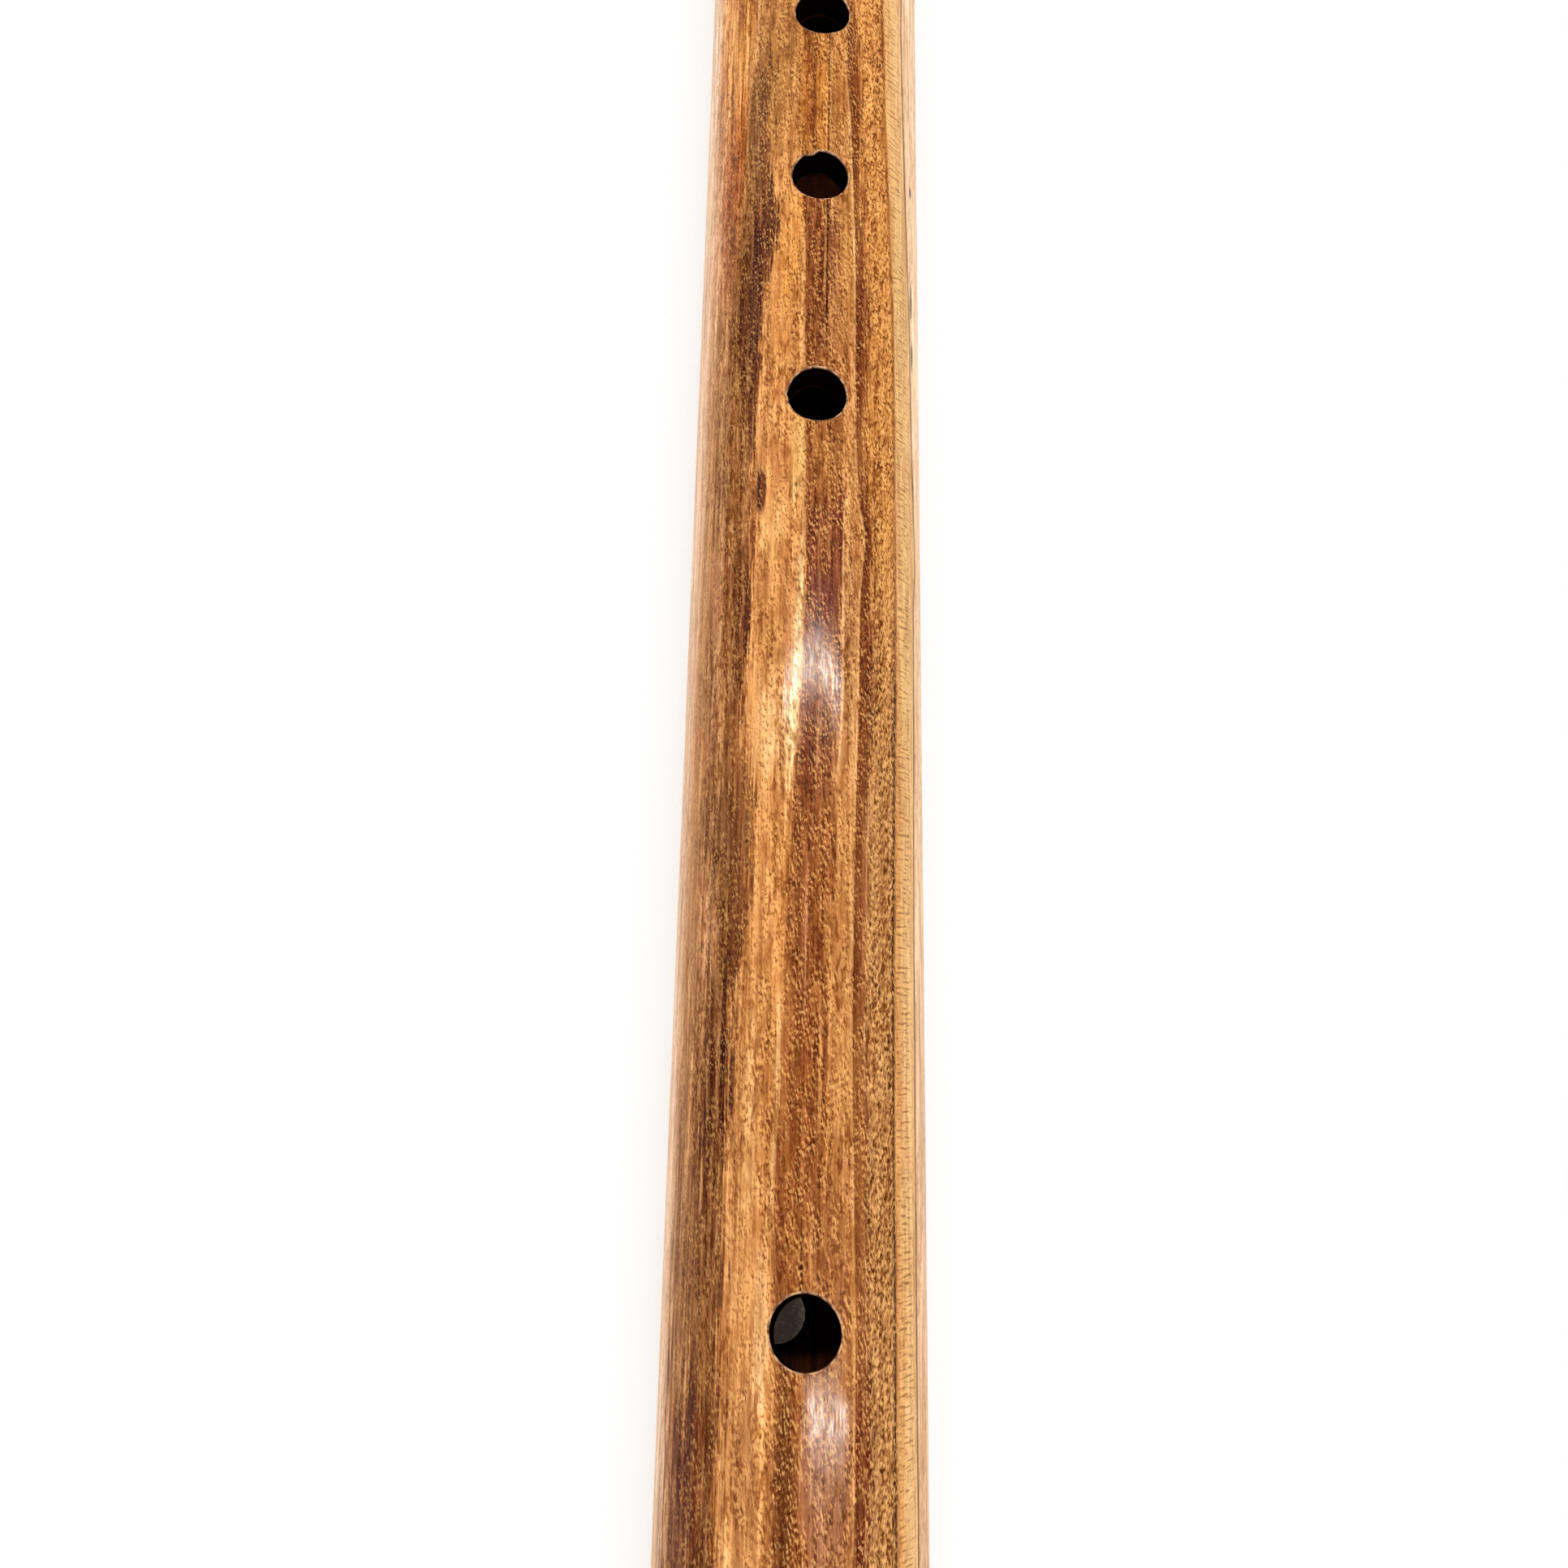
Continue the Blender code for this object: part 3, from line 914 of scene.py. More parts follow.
class DrawnWood:
    """Builds the varnished wood's node tree from its finish.

    The figure is drawn once, for the stretch of tube round the finger holes. Past that stretch it runs
    back on itself, swinging round the tube as it goes, and the far half shows another part of it.
    """

    window_mm = (-190.0, 100.0)
    turns_deg = (-140.0, 140.0)
    rings_deg = (-180.0, 110.0)
    far_facing = -0.4
    far_shift_mm = 150.0
    swing_deg = 40.0
    swing_mm = 150.0
    swing_start_mm = 60.0

    # Width and length in millimetres of each noise, and the levels between which one is read.
    fibre_mm = (0.5, 16.0)
    ripple_mm = (1.6, 40.0)
    strand_mm = (1.0, 26.0)
    thread_mm = (0.36, 3.2)
    thread_levels = (0.36, 0.64)
    cloud_mm = (1.6, 5.0)
    gap_mm = (0.7, 14.0)
    gap_levels = (0.40, 0.56)
    band_mm = (9.0, 260.0)
    band_levels = (0.38, 0.62)
    glow_mm = (5.0, 120.0)
    glow_levels = (0.5, 0.72)
    stain_mm = (5.0, 22.0)
    stain_levels = (0.32, 0.54)
    torn_mm = (0.75, 2.6)
    torn_levels = (0.48, 0.60)
    cluster_levels = (0.39, 0.57)
    cluster_share = (0.15, 1.0)

    noise_mean = 0.5
    fray_gain = 6.0
    ragged_mm = 3.0
    crisp_fray = 0.5
    line_fray = 0.08
    strand_spread = 0.22
    fibre_spread = 0.15
    cloud_spread = 0.28
    cloud_share = 0.7
    fibre_relief = 0.7
    pore_relief = 0.4

    # Degrees past ring C over which the gold band and the pale strip start and end.
    gold_start = (-17.0, -12.0)
    gold_end = (-0.5, -2.0)
    strip_start = (0.5, 2.5)
    strip_end = (15.0, 9.0)
    glue_facing = (0.010, 0.004)

    def __init__(self, finish: WoodFinish) -> None:
        """Start the material and make the patterns that many streaks share.

        Args:
            finish: Colours, streaks and gloss of the wood.
        """
        self.finish = finish
        self.made: dict[object, Socket] = {}
        self.graph, self.at = started("varnished_wood")
        graph = self.graph
        self.fibre = graph.noise(self.at.grain(*self.fibre_mm), detail=3.0, rough=0.6)
        self.ripple = graph.noise(self.at.grain(*self.ripple_mm), detail=2.0)
        self.strand = graph.noise(self.at.grain(*self.strand_mm), detail=2.0)
        self.thread = graph.noise(self.at.grain(*self.thread_mm), detail=2.0, rough=0.6)
        self.cloud = graph.noise(self.at.grain(*self.cloud_mm), detail=2.0, rough=0.6)
        ruffles = (self.fibre, self.ripple, self.thread)
        total = graph.math("ADD", graph.math("ADD", *ruffles[:2]), ruffles[2])
        middle = self.noise_mean * len(ruffles)
        self.fray = graph.math("MULTIPLY_ADD", total, self.fray_gain, -self.fray_gain * middle)
        self.along, self.turn = self.figure()
        self.along_share = graph.span(self.along, *self.window_mm, 0.0, 1.0)
        self.ragged_along = graph.math("MULTIPLY_ADD", self.fray, self.ragged_mm, self.along)
        self.ragged_share = graph.span(self.ragged_along, *self.window_mm, 0.0, 1.0)
        gaps = graph.noise(self.at.grain(*self.gap_mm), detail=2.0, rough=0.6)
        self.solid = graph.step(gaps, *self.gap_levels)
        self.patch = self.patch_group()

    def once(self, key: object, make: Callable[[], Socket]) -> Socket:
        """Share one set of nodes between all that ask for the same thing.

        Args:
            key: What is asked for.
            make: Adds the nodes the first time.

        Returns:
            The nodes' result.
        """
        if key not in self.made:
            self.made[key] = make()
        return self.made[key]

    def figure(self) -> tuple[Socket, Socket]:
        """Place in the drawn figure: distance along it and turn round it.

        Returns:
            Millimetres along the figure and degrees round it.
        """
        graph, at = self.graph, self.at
        start, end = FIGURE_MM
        far = graph.step(at.facing, 0.0, self.far_facing)
        from_start = graph.math("SUBTRACT", at.along_mm, start)
        moved = graph.math("MULTIPLY_ADD", far, self.far_shift_mm, from_start)
        along = graph.math("ADD", graph.math("PINGPONG", moved, end - start), start)
        past_middle = graph.math("ABSOLUTE", graph.math("SUBTRACT", at.along_mm, (start + end) / 2))
        half = (end - start) / 2
        outside = graph.step(past_middle, half, half + self.swing_start_mm)
        slow = graph.wave(graph.math("MULTIPLY", at.along_mm, 1 / self.swing_mm))
        swing = graph.math("MULTIPLY", graph.math("SUBTRACT", slow, self.noise_mean), self.swing_deg)
        turn = graph.math("MULTIPLY_ADD", swing, graph.math("MAXIMUM", outside, far), at.turn_deg)
        return along, turn

    def drawn(self, share: Socket, domain: tuple[float, float], points: Path2) -> Socket:
        """Read a drawn curve whose heights are between 0 and 1.

        Args:
            share: Where to read it, 0 to 1 across the domain.
            domain: Ends of the curve's box along the reading.
            points: The curve's points, from left to right.

        Returns:
            The curve's height.
        """
        start, end = domain
        return self.graph.curve(share, tuple(((x - start) / (end - start), y) for x, y in points))

    def path(self, points: Path2) -> Socket:
        """Turn round the tube of a line drawn along it."""
        low, high = self.turns_deg

        def make() -> Socket:
            """Add the curve."""
            unit = tuple((along, (turn - low) / (high - low)) for along, turn in points)
            drawn = self.drawn(self.along_share, self.window_mm, unit)
            return self.graph.math("MULTIPLY_ADD", drawn, high - low, low)

        return self.once(("path", points), make)

    def strength(self, points: Path2) -> Socket:
        """Strength, 0 to 1, drawn along the tube."""
        return self.once(
            ("strength", points), lambda: self.drawn(self.ragged_share, self.window_mm, points)
        )

    def frayed(self, amount: float) -> Socket:
        """Turn round the tube, ruffled by the fibres so that edges fray along the grain."""
        return self.once(
            ("fray", amount), lambda: self.graph.math("MULTIPLY_ADD", self.fray, amount, self.turn)
        )

    def kept(self, gaps: float) -> Socket:
        """Share of a streak left by the gaps between its fibres."""
        return self.once(
            ("gaps", gaps), lambda: self.graph.math("MULTIPLY_ADD", self.solid, gaps, 1.0 - gaps)
        )

    def spot(self, amount: float) -> Socket:
        """Turn and distance along the tube as one vector; a patch that hardly frays keeps its ends."""
        along = self.along if amount < self.crisp_fray else self.ragged_along
        return self.once(("spot", amount), lambda: self.graph.vector(self.frayed(amount), along, 0.0))

    def streak(self, below: Feed, band: Streak) -> Socket:
        """Lay one streak over the colour so far.

        Args:
            below: The colour so far.
            band: The streak.

        Returns:
            The colour with the streak.
        """
        graph = self.graph
        from_left = graph.math("SUBTRACT", self.frayed(band.left_fray), self.path(band.left))
        from_right = graph.math("SUBTRACT", self.path(band.right), self.frayed(band.right_fray))
        inside = graph.math(
            "MULTIPLY",
            graph.step(from_left, -band.left_soft, band.left_soft),
            graph.step(from_right, -band.right_soft, band.right_soft),
        )
        share = graph.math("MULTIPLY", inside, self.strength(band.strength))
        colour = graph.blend(graph.math("MULTIPLY", share, self.kept(band.gaps)), below, band.colour)
        colour.node.label = band.name
        return colour

    @staticmethod
    def patch_group() -> bpy.types.ShaderNodeTree:
        """Node group that lays one oval patch over a colour.

        Returns:
            The group, with sockets for the colours, the place and the patch's sizes.
        """
        tree = bpy.data.node_groups.new("wood_patch", "ShaderNodeTree")
        for name, kind in (
            ("Below", "Color"),
            ("Patch", "Color"),
            ("Place", "Vector"),
            ("Centre", "Vector"),
            ("Size", "Vector"),
            ("Edge", "Float"),
            ("Strength", "Float"),
        ):
            tree.interface.new_socket(name, in_out="INPUT", socket_type="NodeSocket" + kind)
        tree.interface.new_socket("Colour", in_out="OUTPUT", socket_type="NodeSocketColor")
        graph = Graph.of_tree(tree)
        feed = graph.add("NodeGroupInput").outputs
        offset = feed["Place"]
        steps = (("SUBTRACT", feed["Centre"]), ("DIVIDE", feed["Size"]), ("LENGTH", None))
        for operation, socket in steps:
            node = graph.add("ShaderNodeVectorMath", operation=operation)
            graph.wire(offset, node.inputs[0])
            if socket:
                graph.wire(socket, node.inputs[1])
            offset = node.outputs["Value" if operation == "LENGTH" else "Vector"]
        outer, inner = graph.math("ADD", 1.0, feed["Edge"]), graph.math("SUBTRACT", 1.0, feed["Edge"])
        inside = graph.math("SUBTRACT", 1.0, graph.step(offset, inner, outer))
        share = graph.math("MULTIPLY", inside, feed["Strength"])
        colour = graph.blend(share, feed["Below"], feed["Patch"])
        graph.wire(colour, graph.add("NodeGroupOutput").inputs["Colour"])
        return tree

    def mark(self, below: Feed, spot: Mark) -> Socket:
        """Lay one small patch over the colour so far.

        Args:
            below: The colour so far.
            spot: The patch.

        Returns:
            The colour with the patch.
        """
        node = self.graph.add("ShaderNodeGroup", node_tree=self.patch, label=spot.name)
        for name, value in (
            ("Below", below),
            ("Patch", spot.colour),
            ("Place", self.spot(spot.fray)),
            ("Centre", (spot.turn, spot.along, 0.0)),
            ("Size", (spot.half_turn, spot.half_along, 1.0)),
            ("Edge", spot.soft),
            ("Strength", spot.strength),
        ):
            self.graph.wire(value, node.inputs[name])
        return node.outputs["Colour"]

    def line(self, below: Feed, ring: RingLine) -> Socket:
        """Draw one ring line over the colour so far.

        Args:
            below: The colour so far.
            ring: The line.

        Returns:
            The colour with the line.
        """
        graph = self.graph
        offset = graph.math("SUBTRACT", self.frayed(self.line_fray), self.path(ring.path))
        inside = graph.math(
            "MULTIPLY", graph.step(offset, -ring.fade_left, 0.0), graph.step(offset, ring.fade_right, 0.0)
        )
        share = graph.math("MULTIPLY", inside, self.strength(ring.strength))
        colour = graph.blend(share, below, ring.colour)
        colour.node.label = ring.name
        return colour

    def base(self) -> Socket:
        """Colour of the wood before its named streaks: soft bands along the grain."""
        graph, finish = self.graph, self.finish
        bands = graph.noise(self.at.grain(*self.band_mm), detail=3.0, rough=0.55, warp=0.3)
        colour = graph.blend(graph.step(bands, *self.band_levels), finish.deep, finish.honey)
        glow = graph.noise(self.at.grain(*self.glow_mm), detail=2.0)
        return graph.blend(graph.step(glow, *self.glow_levels), colour, finish.pale)

    def grained(self, colour: Feed, pattern: Socket, spread: float, share: Feed) -> Socket:
        """Darken and lighten a colour by a pattern of fibres.

        Args:
            colour: The colour so far.
            pattern: Noise about 0.5.
            spread: How far the noise goes before the tints are full.
            share: How much of the tints shows.

        Returns:
            The grained colour.
        """
        graph, finish = self.graph, self.finish
        depth = graph.span(pattern, self.noise_mean - spread, self.noise_mean + spread, 0.0, 1.0)
        tint = graph.blend(depth, finish.dark_tint, finish.light_tint)
        return graph.blend(share, colour, tint, "MULTIPLY")

    def raised(self, kind: Pores) -> Socket:
        """Fine pores as they would catch light, as painted highlight on the side towards the bell and
        painted shade on the other.

        Args:
            kind: The pores.

        Returns:
            The pattern, about 0 and positive where bright.
        """
        graph, size = self.graph, (kind.width_mm, kind.length_mm, kind.lean)
        lit = graph.noise(self.at.grain(*size), detail=1.0, rough=0.6)
        shaded = graph.noise(self.at.grain(*size, kind.reach_mm), detail=1.0, rough=0.6)
        return graph.math("SUBTRACT", lit, shaded)

    def speckled(self, colour: Feed, relief: Socket, kind: Pores, share: Feed) -> Socket:
        """Paint bright and dark specks on a colour where a relief pattern is steep: painted highlight on
        one side of each pore, painted shade on the other.

        Args:
            colour: The colour so far.
            relief: The pattern, about 0.
            kind: The pores that the pattern shows.
            share: How much of the specks shows.

        Returns:
            The speckled colour.
        """
        graph, finish = self.graph, self.finish
        shaded = graph.math("MULTIPLY", graph.step(relief, -kind.low, -kind.high), share)
        colour = graph.blend(shaded, colour, finish.speck_painted_shade, "MULTIPLY")
        steep = graph.step(relief, kind.low, kind.high)
        lit = graph.math("MULTIPLY", steep, graph.math("MULTIPLY", share, finish.speck_shine))
        return graph.blend(lit, colour, finish.speck_painted_highlight)

    def between(self, value: Socket, start: tuple[float, float], end: tuple[float, float]) -> Socket:
        """1 where a value is between two soft limits, 0 past them."""
        return self.graph.math("MULTIPLY", self.graph.step(value, *start), self.graph.step(value, *end))

    def figured(self) -> Socket:
        """Colour of the wood with every streak, mark and line drawn on it."""
        colour = self.base()
        for band in self.finish.streaks:
            colour = self.streak(colour, band)
        for spot in self.finish.marks:
            colour = self.mark(colour, spot)
        for ring in self.finish.lines:
            colour = self.line(colour, ring)
        return colour

    def build(self) -> bpy.types.Material:
        """Wire the whole material.

        Returns:
            The finished material.
        """
        graph, finish = self.graph, self.finish
        colour = self.figured()
        past_c = graph.math("SUBTRACT", self.turn, self.path(RING_C))
        ring_share = graph.span(past_c, *self.rings_deg, 0.0, 1.0)
        grit_share = self.drawn(ring_share, self.rings_deg, finish.grit_by_ring)
        fibre_share = self.drawn(ring_share, self.rings_deg, finish.fibre_by_ring)
        colour = self.grained(colour, self.strand, self.strand_spread, fibre_share)
        colour = self.grained(colour, self.fibre, self.fibre_spread, fibre_share)
        clouded = graph.math("MULTIPLY", grit_share, self.cloud_share)
        colour = self.grained(colour, self.cloud, self.cloud_spread, clouded)
        stains = graph.noise(self.at.grain(*self.stain_mm), detail=2.0, rough=0.6)
        stained = graph.step(stains, *self.stain_levels)
        torn = graph.noise(self.at.grain(*self.torn_mm), detail=2.0, rough=0.7)
        bits = graph.step(torn, *self.torn_levels)
        most = graph.math("MAXIMUM", grit_share, fibre_share)
        flecks = graph.math("MULTIPLY", bits, graph.math("MULTIPLY", stained, most))
        colour = graph.blend(flecks, colour, finish.fleck_tint, "MULTIPLY")

        clusters = graph.span(self.cloud, *self.cluster_levels, *self.cluster_share)
        clusters = graph.math("MULTIPLY", grit_share, clusters)
        # Painted highlight and painted shade on the pores, the gold dots and the strip's rungs.
        pores = self.raised(finish.pores)
        colour = self.speckled(colour, pores, finish.pores, clusters)
        for kind, start, end in (
            (finish.gold_dots, self.gold_start, self.gold_end),
            (finish.strip_rungs, self.strip_start, self.strip_end),
        ):
            inside = self.between(past_c, start, end)
            relief = self.raised(kind)
            colour = self.speckled(colour, relief, kind, graph.math("MULTIPLY", inside, kind.share))
        glue = graph.step(graph.math("ABSOLUTE", self.at.facing), *self.glue_facing)
        glue = graph.math("MULTIPLY", glue, finish.glue_share)
        graph.into("Base Color", graph.blend(glue, colour, finish.glue_tint, "MULTIPLY"))

        ridges = graph.math("MULTIPLY", self.fibre, self.fibre_relief)
        pits = graph.math("MULTIPLY", pores, self.pore_relief)
        graph.bump(graph.math("ADD", ridges, pits), finish.relief)
        graph.bump(self.fibre, finish.coat_relief, "Coat Normal")
        graph.constants(
            {
                "Roughness": finish.roughness,
                "Specular IOR Level": finish.specular,
                "Coat Roughness": sum(finish.coat_roughness) / len(finish.coat_roughness),
            }
        )
        graph.into("Coat Weight", graph.span(self.thread, *self.thread_levels, *finish.coat_weight))
        graph.into("Coat Roughness", graph.span(self.thread, *self.thread_levels, *finish.coat_roughness))
        return graph.material


@dataclass(frozen=True)
class BoreFinish:
    """Dark sealed wood inside the bore; the drilled walls of the holes near black."""

    light: Colour = tone(118, 66, 42)
    dark: Colour = tone(66, 34, 22)
    # Near black on the walls of the drilled holes.
    drilled: Colour = tone(12, 6, 4)
    drilled_depth: tuple[float, float] = (0.0002, 0.0012)
    bell_mm: tuple[float, float] = (330.0, 310.0)
    grain_mm: tuple[float, float] = (1.2, 30.0)
    grain_levels: tuple[float, float] = (0.3, 0.7)
    smoke_mm: tuple[float, float] = (6.0, 22.0)
    smoke_levels: tuple[float, float] = (0.35, 0.65)
    relief: float = 0.00006
    roughness: float = 0.6
    specular: float = 0.0

    def build(self) -> bpy.types.Material:
        """Make the material.

        Returns:
            The finished material.
        """
        graph, at = started("sealed_bore")
        grain = graph.noise(at.grain(*self.grain_mm), detail=3.0)
        smoke = graph.noise(at.grain(*self.smoke_mm), detail=2.0)
        colour = graph.blend(graph.step(grain, *self.grain_levels), self.dark, self.light)
        colour = graph.blend(graph.step(smoke, *self.smoke_levels), colour, self.dark)
        start, full = (TUBE.bore_radius + depth for depth in self.drilled_depth)
        past_bore = graph.step(at.radius, start, full)
        straight = graph.step(at.along_mm, *self.bell_mm)
        colour = graph.blend(graph.math("MULTIPLY", past_bore, straight), colour, self.drilled)
        graph.into("Base Color", colour)
        graph.bump(grain, self.relief)
        graph.constants({"Roughness": self.roughness, "Specular IOR Level": self.specular})
        return graph.material


@dataclass(frozen=True)
class EndGrainFinish:
    """Sawn end of the wood: rings and pores seen end on, under the same varnish."""

    early: Colour = tone(192, 138, 84)
    late: Colour = tone(122, 74, 38)
    pore: Colour = tone(80, 44, 20)
    from_pith: tuple[float, float, float] = (0.0, 0.055, 0.035)
    rings_per_m: float = 420.0
    ring_rise: float = 2.0
    wobble: float = 0.8
    wobble_scale: tuple[float, float, float] = (60.0, 160.0, 160.0)
    pore_scale: tuple[float, float, float] = (400.0, 2600.0, 2600.0)
    pore_levels: tuple[float, float] = (0.58, 0.68)
    pore_share: float = 0.6
    relief: float = 0.00005
    roughness: float = 0.42
    coat_weight: float = 0.4
    coat_roughness: float = 0.2

    def build(self) -> bpy.types.Material:
        """Make the material.

        Returns:
            The finished material.
        """
        graph, at = started("end_grain")
        pith = graph.add("ShaderNodeMapping", vector_type="POINT")
        graph.wire(self.from_pith, pith.inputs["Location"])
        graph.wire(at.place, pith.inputs["Vector"])
        parts = graph.add("ShaderNodeSeparateXYZ")
        graph.wire(pith.outputs["Vector"], parts.inputs[0])
        squares = [graph.math("MULTIPLY", side, side) for side in parts.outputs[1:]]
        away = graph.math("SQRT", graph.math("ADD", *squares))
        wobble = graph.noise(graph.stretch(at.place, self.wobble_scale), detail=2.0)
        rings = graph.math("MULTIPLY", away, self.rings_per_m)
        rings = graph.math("ADD", rings, graph.math("MULTIPLY", wobble, self.wobble))
        late = graph.math("POWER", graph.math("FRACT", rings), self.ring_rise)
        colour = graph.blend(late, self.early, self.late)
        pores = graph.noise(graph.stretch(at.place, self.pore_scale), detail=1.0)
        open_pores = graph.math("MULTIPLY", graph.step(pores, *self.pore_levels), self.pore_share)
        graph.into("Base Color", graph.blend(open_pores, colour, self.pore))
        graph.bump(pores, self.relief, "Normal", "Coat Normal")
        graph.constants(
            {
                "Roughness": self.roughness,
                "Coat Weight": self.coat_weight,
                "Coat Roughness": self.coat_roughness,
            }
        )
        return graph.material


@dataclass(frozen=True)
class BareEdgeFinish:
    """Pale worn wood along the sharp edge of a drilled hole."""

    pale: Colour = tone(204, 158, 116)
    worn: Colour = tone(110, 62, 32)
    patch_mm: tuple[float, float] = (1.1, 1.1)
    patch_levels: tuple[float, float] = (0.4, 0.62)
    relief: float = 0.000025
    roughness: float = 0.6

    def build(self) -> bpy.types.Material:
        """Make the material.

        Returns:
            The finished material.
        """
        graph, at = started("bare_edge")
        patch = graph.noise(at.grain(*self.patch_mm), detail=2.0)
        graph.into("Base Color", graph.blend(graph.step(patch, *self.patch_levels), self.worn, self.pale))
        graph.bump(patch, self.relief)
        graph.constants({"Roughness": self.roughness})
        return graph.material


@dataclass(frozen=True)
class WaxFinish:
    """Brown beeswax, warmed and pressed on by hand."""

    amber: Colour = tone(178, 118, 48)
    dark: Colour = tone(134, 80, 30)
    bloom: Colour = tone(206, 164, 100)
    bloom_share: float = 0.5
    cloud_scale: float = 170.0
    cloud_levels: tuple[float, float] = (0.36, 0.64)
    dust_scale: float = 900.0
    dust_levels: tuple[float, float] = (0.56, 0.72)
    dent_scale: float = 240.0
    dent_depth: float = 0.0004
    shine_levels: tuple[float, float] = (0.3, 0.7)
    roughness: tuple[float, float] = (0.34, 0.54)
    glow: float = 0.12
    glow_radius: tuple[float, float, float] = (0.004, 0.002, 0.001)
    glow_scale: float = 1.0

    def build(self) -> bpy.types.Material:
        """Make the material.

        Returns:
            The finished material.
        """
        graph, at = started("beeswax")
        cloud = graph.noise(graph.stretch(at.place, (self.cloud_scale,) * 3), detail=4.0, rough=0.6)
        colour = graph.blend(graph.step(cloud, *self.cloud_levels), self.dark, self.amber)
        dust = graph.noise(graph.stretch(at.place, (self.dust_scale,) * 3), detail=3.0, rough=0.7)
        dusty = graph.math("MULTIPLY", graph.step(dust, *self.dust_levels), self.bloom_share)
        graph.into("Base Color", graph.blend(dusty, colour, self.bloom))
        dents = graph.noise(graph.stretch(at.place, (self.dent_scale,) * 3), detail=4.0, rough=0.6)
        graph.bump(dents, self.dent_depth)
        graph.into("Roughness", graph.span(cloud, *self.shine_levels, *self.roughness))
        graph.constants(
            {
                "Subsurface Weight": self.glow,
                "Subsurface Radius": self.glow_radius,
                "Subsurface Scale": self.glow_scale,
            }
        )
        return graph.material


@dataclass(frozen=True)
class Nick:
    """A small flaw on a hole's rim: a chip where positive, a splinter left standing where negative."""

    at_deg: float
    width_deg: float
    depth: float

    def reach(self, angle: float) -> float:
        """How far the rim moves out at an angle round the hole."""
        off = math.remainder(angle - math.radians(self.at_deg), math.tau) / math.radians(self.width_deg)
        return self.depth * math.exp(-off * off)


@dataclass(frozen=True)
class Drill:
    """One drilled hole: where it meets the outside and how its drill was held."""

    name: str
    station: float
    diameter: float
    lean_across: float = 0.0
    lean_along: float = 0.0
    turn: float = 0.0
    nicks: tuple[Nick, ...] = ()

    def frame(self, side: Side) -> tuple[Vector, Vector, Vector, Vector]:
        """Point on the outside, outward direction, and the two directions round the hole.

        Args:
            side: The half of the tube it is drilled in.

        Returns:
            Point, outward direction, direction along the tube, direction across it.
        """
        spin = Matrix.Rotation(self.turn, 3, "X")
        point = spin @ Vector((0.0, 0.0, side * TUBE.body_radius)) + Vector((self.station, 0.0, 0.0))
        out = Vector((math.tan(self.lean_along), math.tan(self.lean_across), float(side)))
        out = (spin @ out).normalized()
        along = (Vector((1.0, 0.0, 0.0)) - out * out.x).normalized()
        return point, out, along, out.cross(along)


